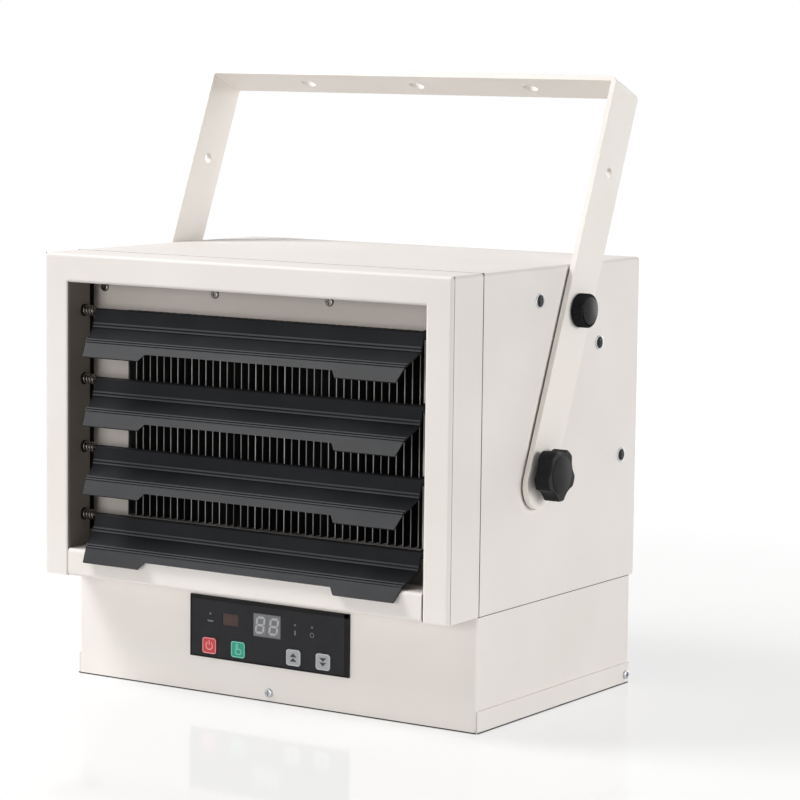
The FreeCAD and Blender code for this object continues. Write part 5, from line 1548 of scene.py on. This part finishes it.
@dataclass
class Studio:
    """Camera, lamps, white surround and floor, in metres and degrees."""

    location: Point = (1.27629, -1.90017, 0.48204)
    lens: float = 136.53
    sensor: float = 36.0
    sight: float = 100.0
    yaw: float = 33.04
    pitch: float = -6.66
    roll: float = 0.69
    white: str = "#FFFFFF"
    surround_light: float = 0.22
    surround_seen: float = 1.0
    floor_size: float = 40.0
    floor_parts: int = 4
    floor_near: float = 0.45
    floor_far: float = 1.1
    floor_lit: str = "#DDDCDB"
    floor_shown: str = "#A2A1A0"
    floor_end: str = "#000000"
    floor_gloss: float = 0.13
    floor_roughness: float = 0.06
    floor_lift: tuple[float, float] = (0.55, 0.92)

    def build(self) -> None:
        """Set up everything round the heater."""
        self.build_camera()
        self.build_surround()
        for lamp in LAMPS:
            lamp.hang()
        self.build_floor()
        bpy.context.scene.view_settings.view_transform = "Standard"

    def build_camera(self) -> None:
        """Stand the camera where the photograph was taken from."""
        yaw, pitch, roll = (math.radians(angle) for angle in (self.yaw, self.pitch, self.roll))
        forward = Vector((-math.sin(yaw) * math.cos(pitch), math.cos(yaw) * math.cos(pitch), math.sin(pitch)))
        level_right = Vector((math.cos(yaw), math.sin(yaw), 0))
        level_up = level_right.cross(forward)
        right = math.cos(roll) * level_right + math.sin(roll) * level_up
        up = math.cos(roll) * level_up - math.sin(roll) * level_right
        data = bpy.data.cameras.new("camera")
        data.lens = self.lens
        data.sensor_width = self.sensor
        data.clip_end = self.sight
        camera = bpy.data.objects.new("camera", data)
        turn = Matrix((right, up, -forward)).transposed().to_4x4()
        camera.matrix_world = Matrix.Translation(Vector(self.location)) @ turn
        bpy.context.scene.collection.objects.link(camera)
        bpy.context.scene.camera = camera

    def build_surround(self) -> None:
        """Make the surround white to the eye and in reflections, and softer as a light."""
        world = bpy.data.worlds.new("surround")
        bpy.context.scene.world = world
        world.use_nodes = True
        tree = world.node_tree
        strength = add_node(tree, "MapRange", inputs={
            "Value": self.seen(tree), "To Min": self.surround_light, "To Max": self.surround_seen})
        shader = tree.nodes["Background"]
        shader.inputs["Color"].default_value = tint(self.white)
        tree.links.new(strength.outputs["Result"], shader.inputs["Strength"])

    def seen(self, tree: Tree) -> Socket:
        """Add the test for rays that the eye follows.

        Args:
            tree: The nodes that get the test.

        Returns:
            One for camera, glossy and transmission rays.
        """
        rays = add_node(tree, "LightPath")
        either = add_node(tree, "Math", {"operation": "MAXIMUM"}, {
            0: rays.outputs["Is Camera Ray"], 1: rays.outputs["Is Glossy Ray"]})
        any_of = add_node(tree, "Math", {"operation": "MAXIMUM"}, {
            0: either.outputs["Value"], 1: rays.outputs["Is Transmission Ray"]})
        return any_of.outputs["Value"]

    def build_floor(self) -> None:
        """Lay a pale, faintly glossy floor that keeps the shadow."""
        bpy.ops.object.select_all(action="DESELECT")
        bpy.ops.mesh.primitive_grid_add(
            x_subdivisions=self.floor_parts, y_subdivisions=self.floor_parts, size=self.floor_size)
        floor = named("floor")
        floor.data.materials.append(self.floor_material())

    def floor_material(self) -> bpy.types.Material:
        """Make the lacquered board, which glows where it is seen so that it ends in white.

        Returns:
            The material.
        """
        material = bpy.data.materials.new("pale_lacquered_board")
        material.use_nodes = True
        tree = material.node_tree
        tree.nodes.remove(tree.nodes["Principled BSDF"])
        place = add_node(tree, "TexCoord").outputs["Object"]
        away = add_node(tree, "VectorMath", {"operation": "LENGTH"}, {0: place})
        far = add_node(tree, "MapRange", inputs={
            "Value": away.outputs["Value"], "From Min": self.floor_near, "From Max": self.floor_far})
        seen = self.seen(tree)
        near = add_node(tree, "Mix", {"data_type": "RGBA"}, {
            "Factor": seen, "A": tint(self.floor_lit), "B": tint(self.floor_shown)})
        board = add_node(tree, "Mix", {"data_type": "RGBA"}, {
            "Factor": far.outputs["Result"], "A": near.outputs["Result"], "B": tint(self.floor_end)})
        matt = add_node(tree, "BsdfDiffuse", inputs={"Color": board.outputs["Result"]})
        gloss = add_node(tree, "BsdfGlossy", inputs={
            "Color": tint(self.white), "Roughness": self.floor_roughness})
        sheen = add_node(tree, "MixShader", inputs={
            0: self.floor_gloss, 1: matt.outputs[0], 2: gloss.outputs[0]})
        lift = add_node(tree, "MapRange", inputs={
            "Value": far.outputs["Result"], "To Min": self.floor_lift[0], "To Max": self.floor_lift[1]})
        shown = add_node(tree, "Math", {"operation": "MULTIPLY"}, {0: seen, 1: lift.outputs["Result"]})
        glow = add_node(tree, "Emission", inputs={
            "Color": tint(self.white), "Strength": shown.outputs["Value"]})
        both = add_node(tree, "AddShader", inputs={0: sheen.outputs[0], 1: glow.outputs[0]})
        tree.links.new(both.outputs[0], tree.nodes["Material Output"].inputs["Surface"])
        return material


def main() -> None:
    """Build and dress the heater, then set up the studio."""
    logging.basicConfig(level=logging.INFO, format="%(name)s: %(message)s")
    for assembly in (Cabinet(), Louvres(), ControlPanel(), Hanger()):
        assembly.build()
        assembly.dress()
    Element().dress()
    Fan().dress()
    Studio().build()


if __name__ == "__main__":
    main()
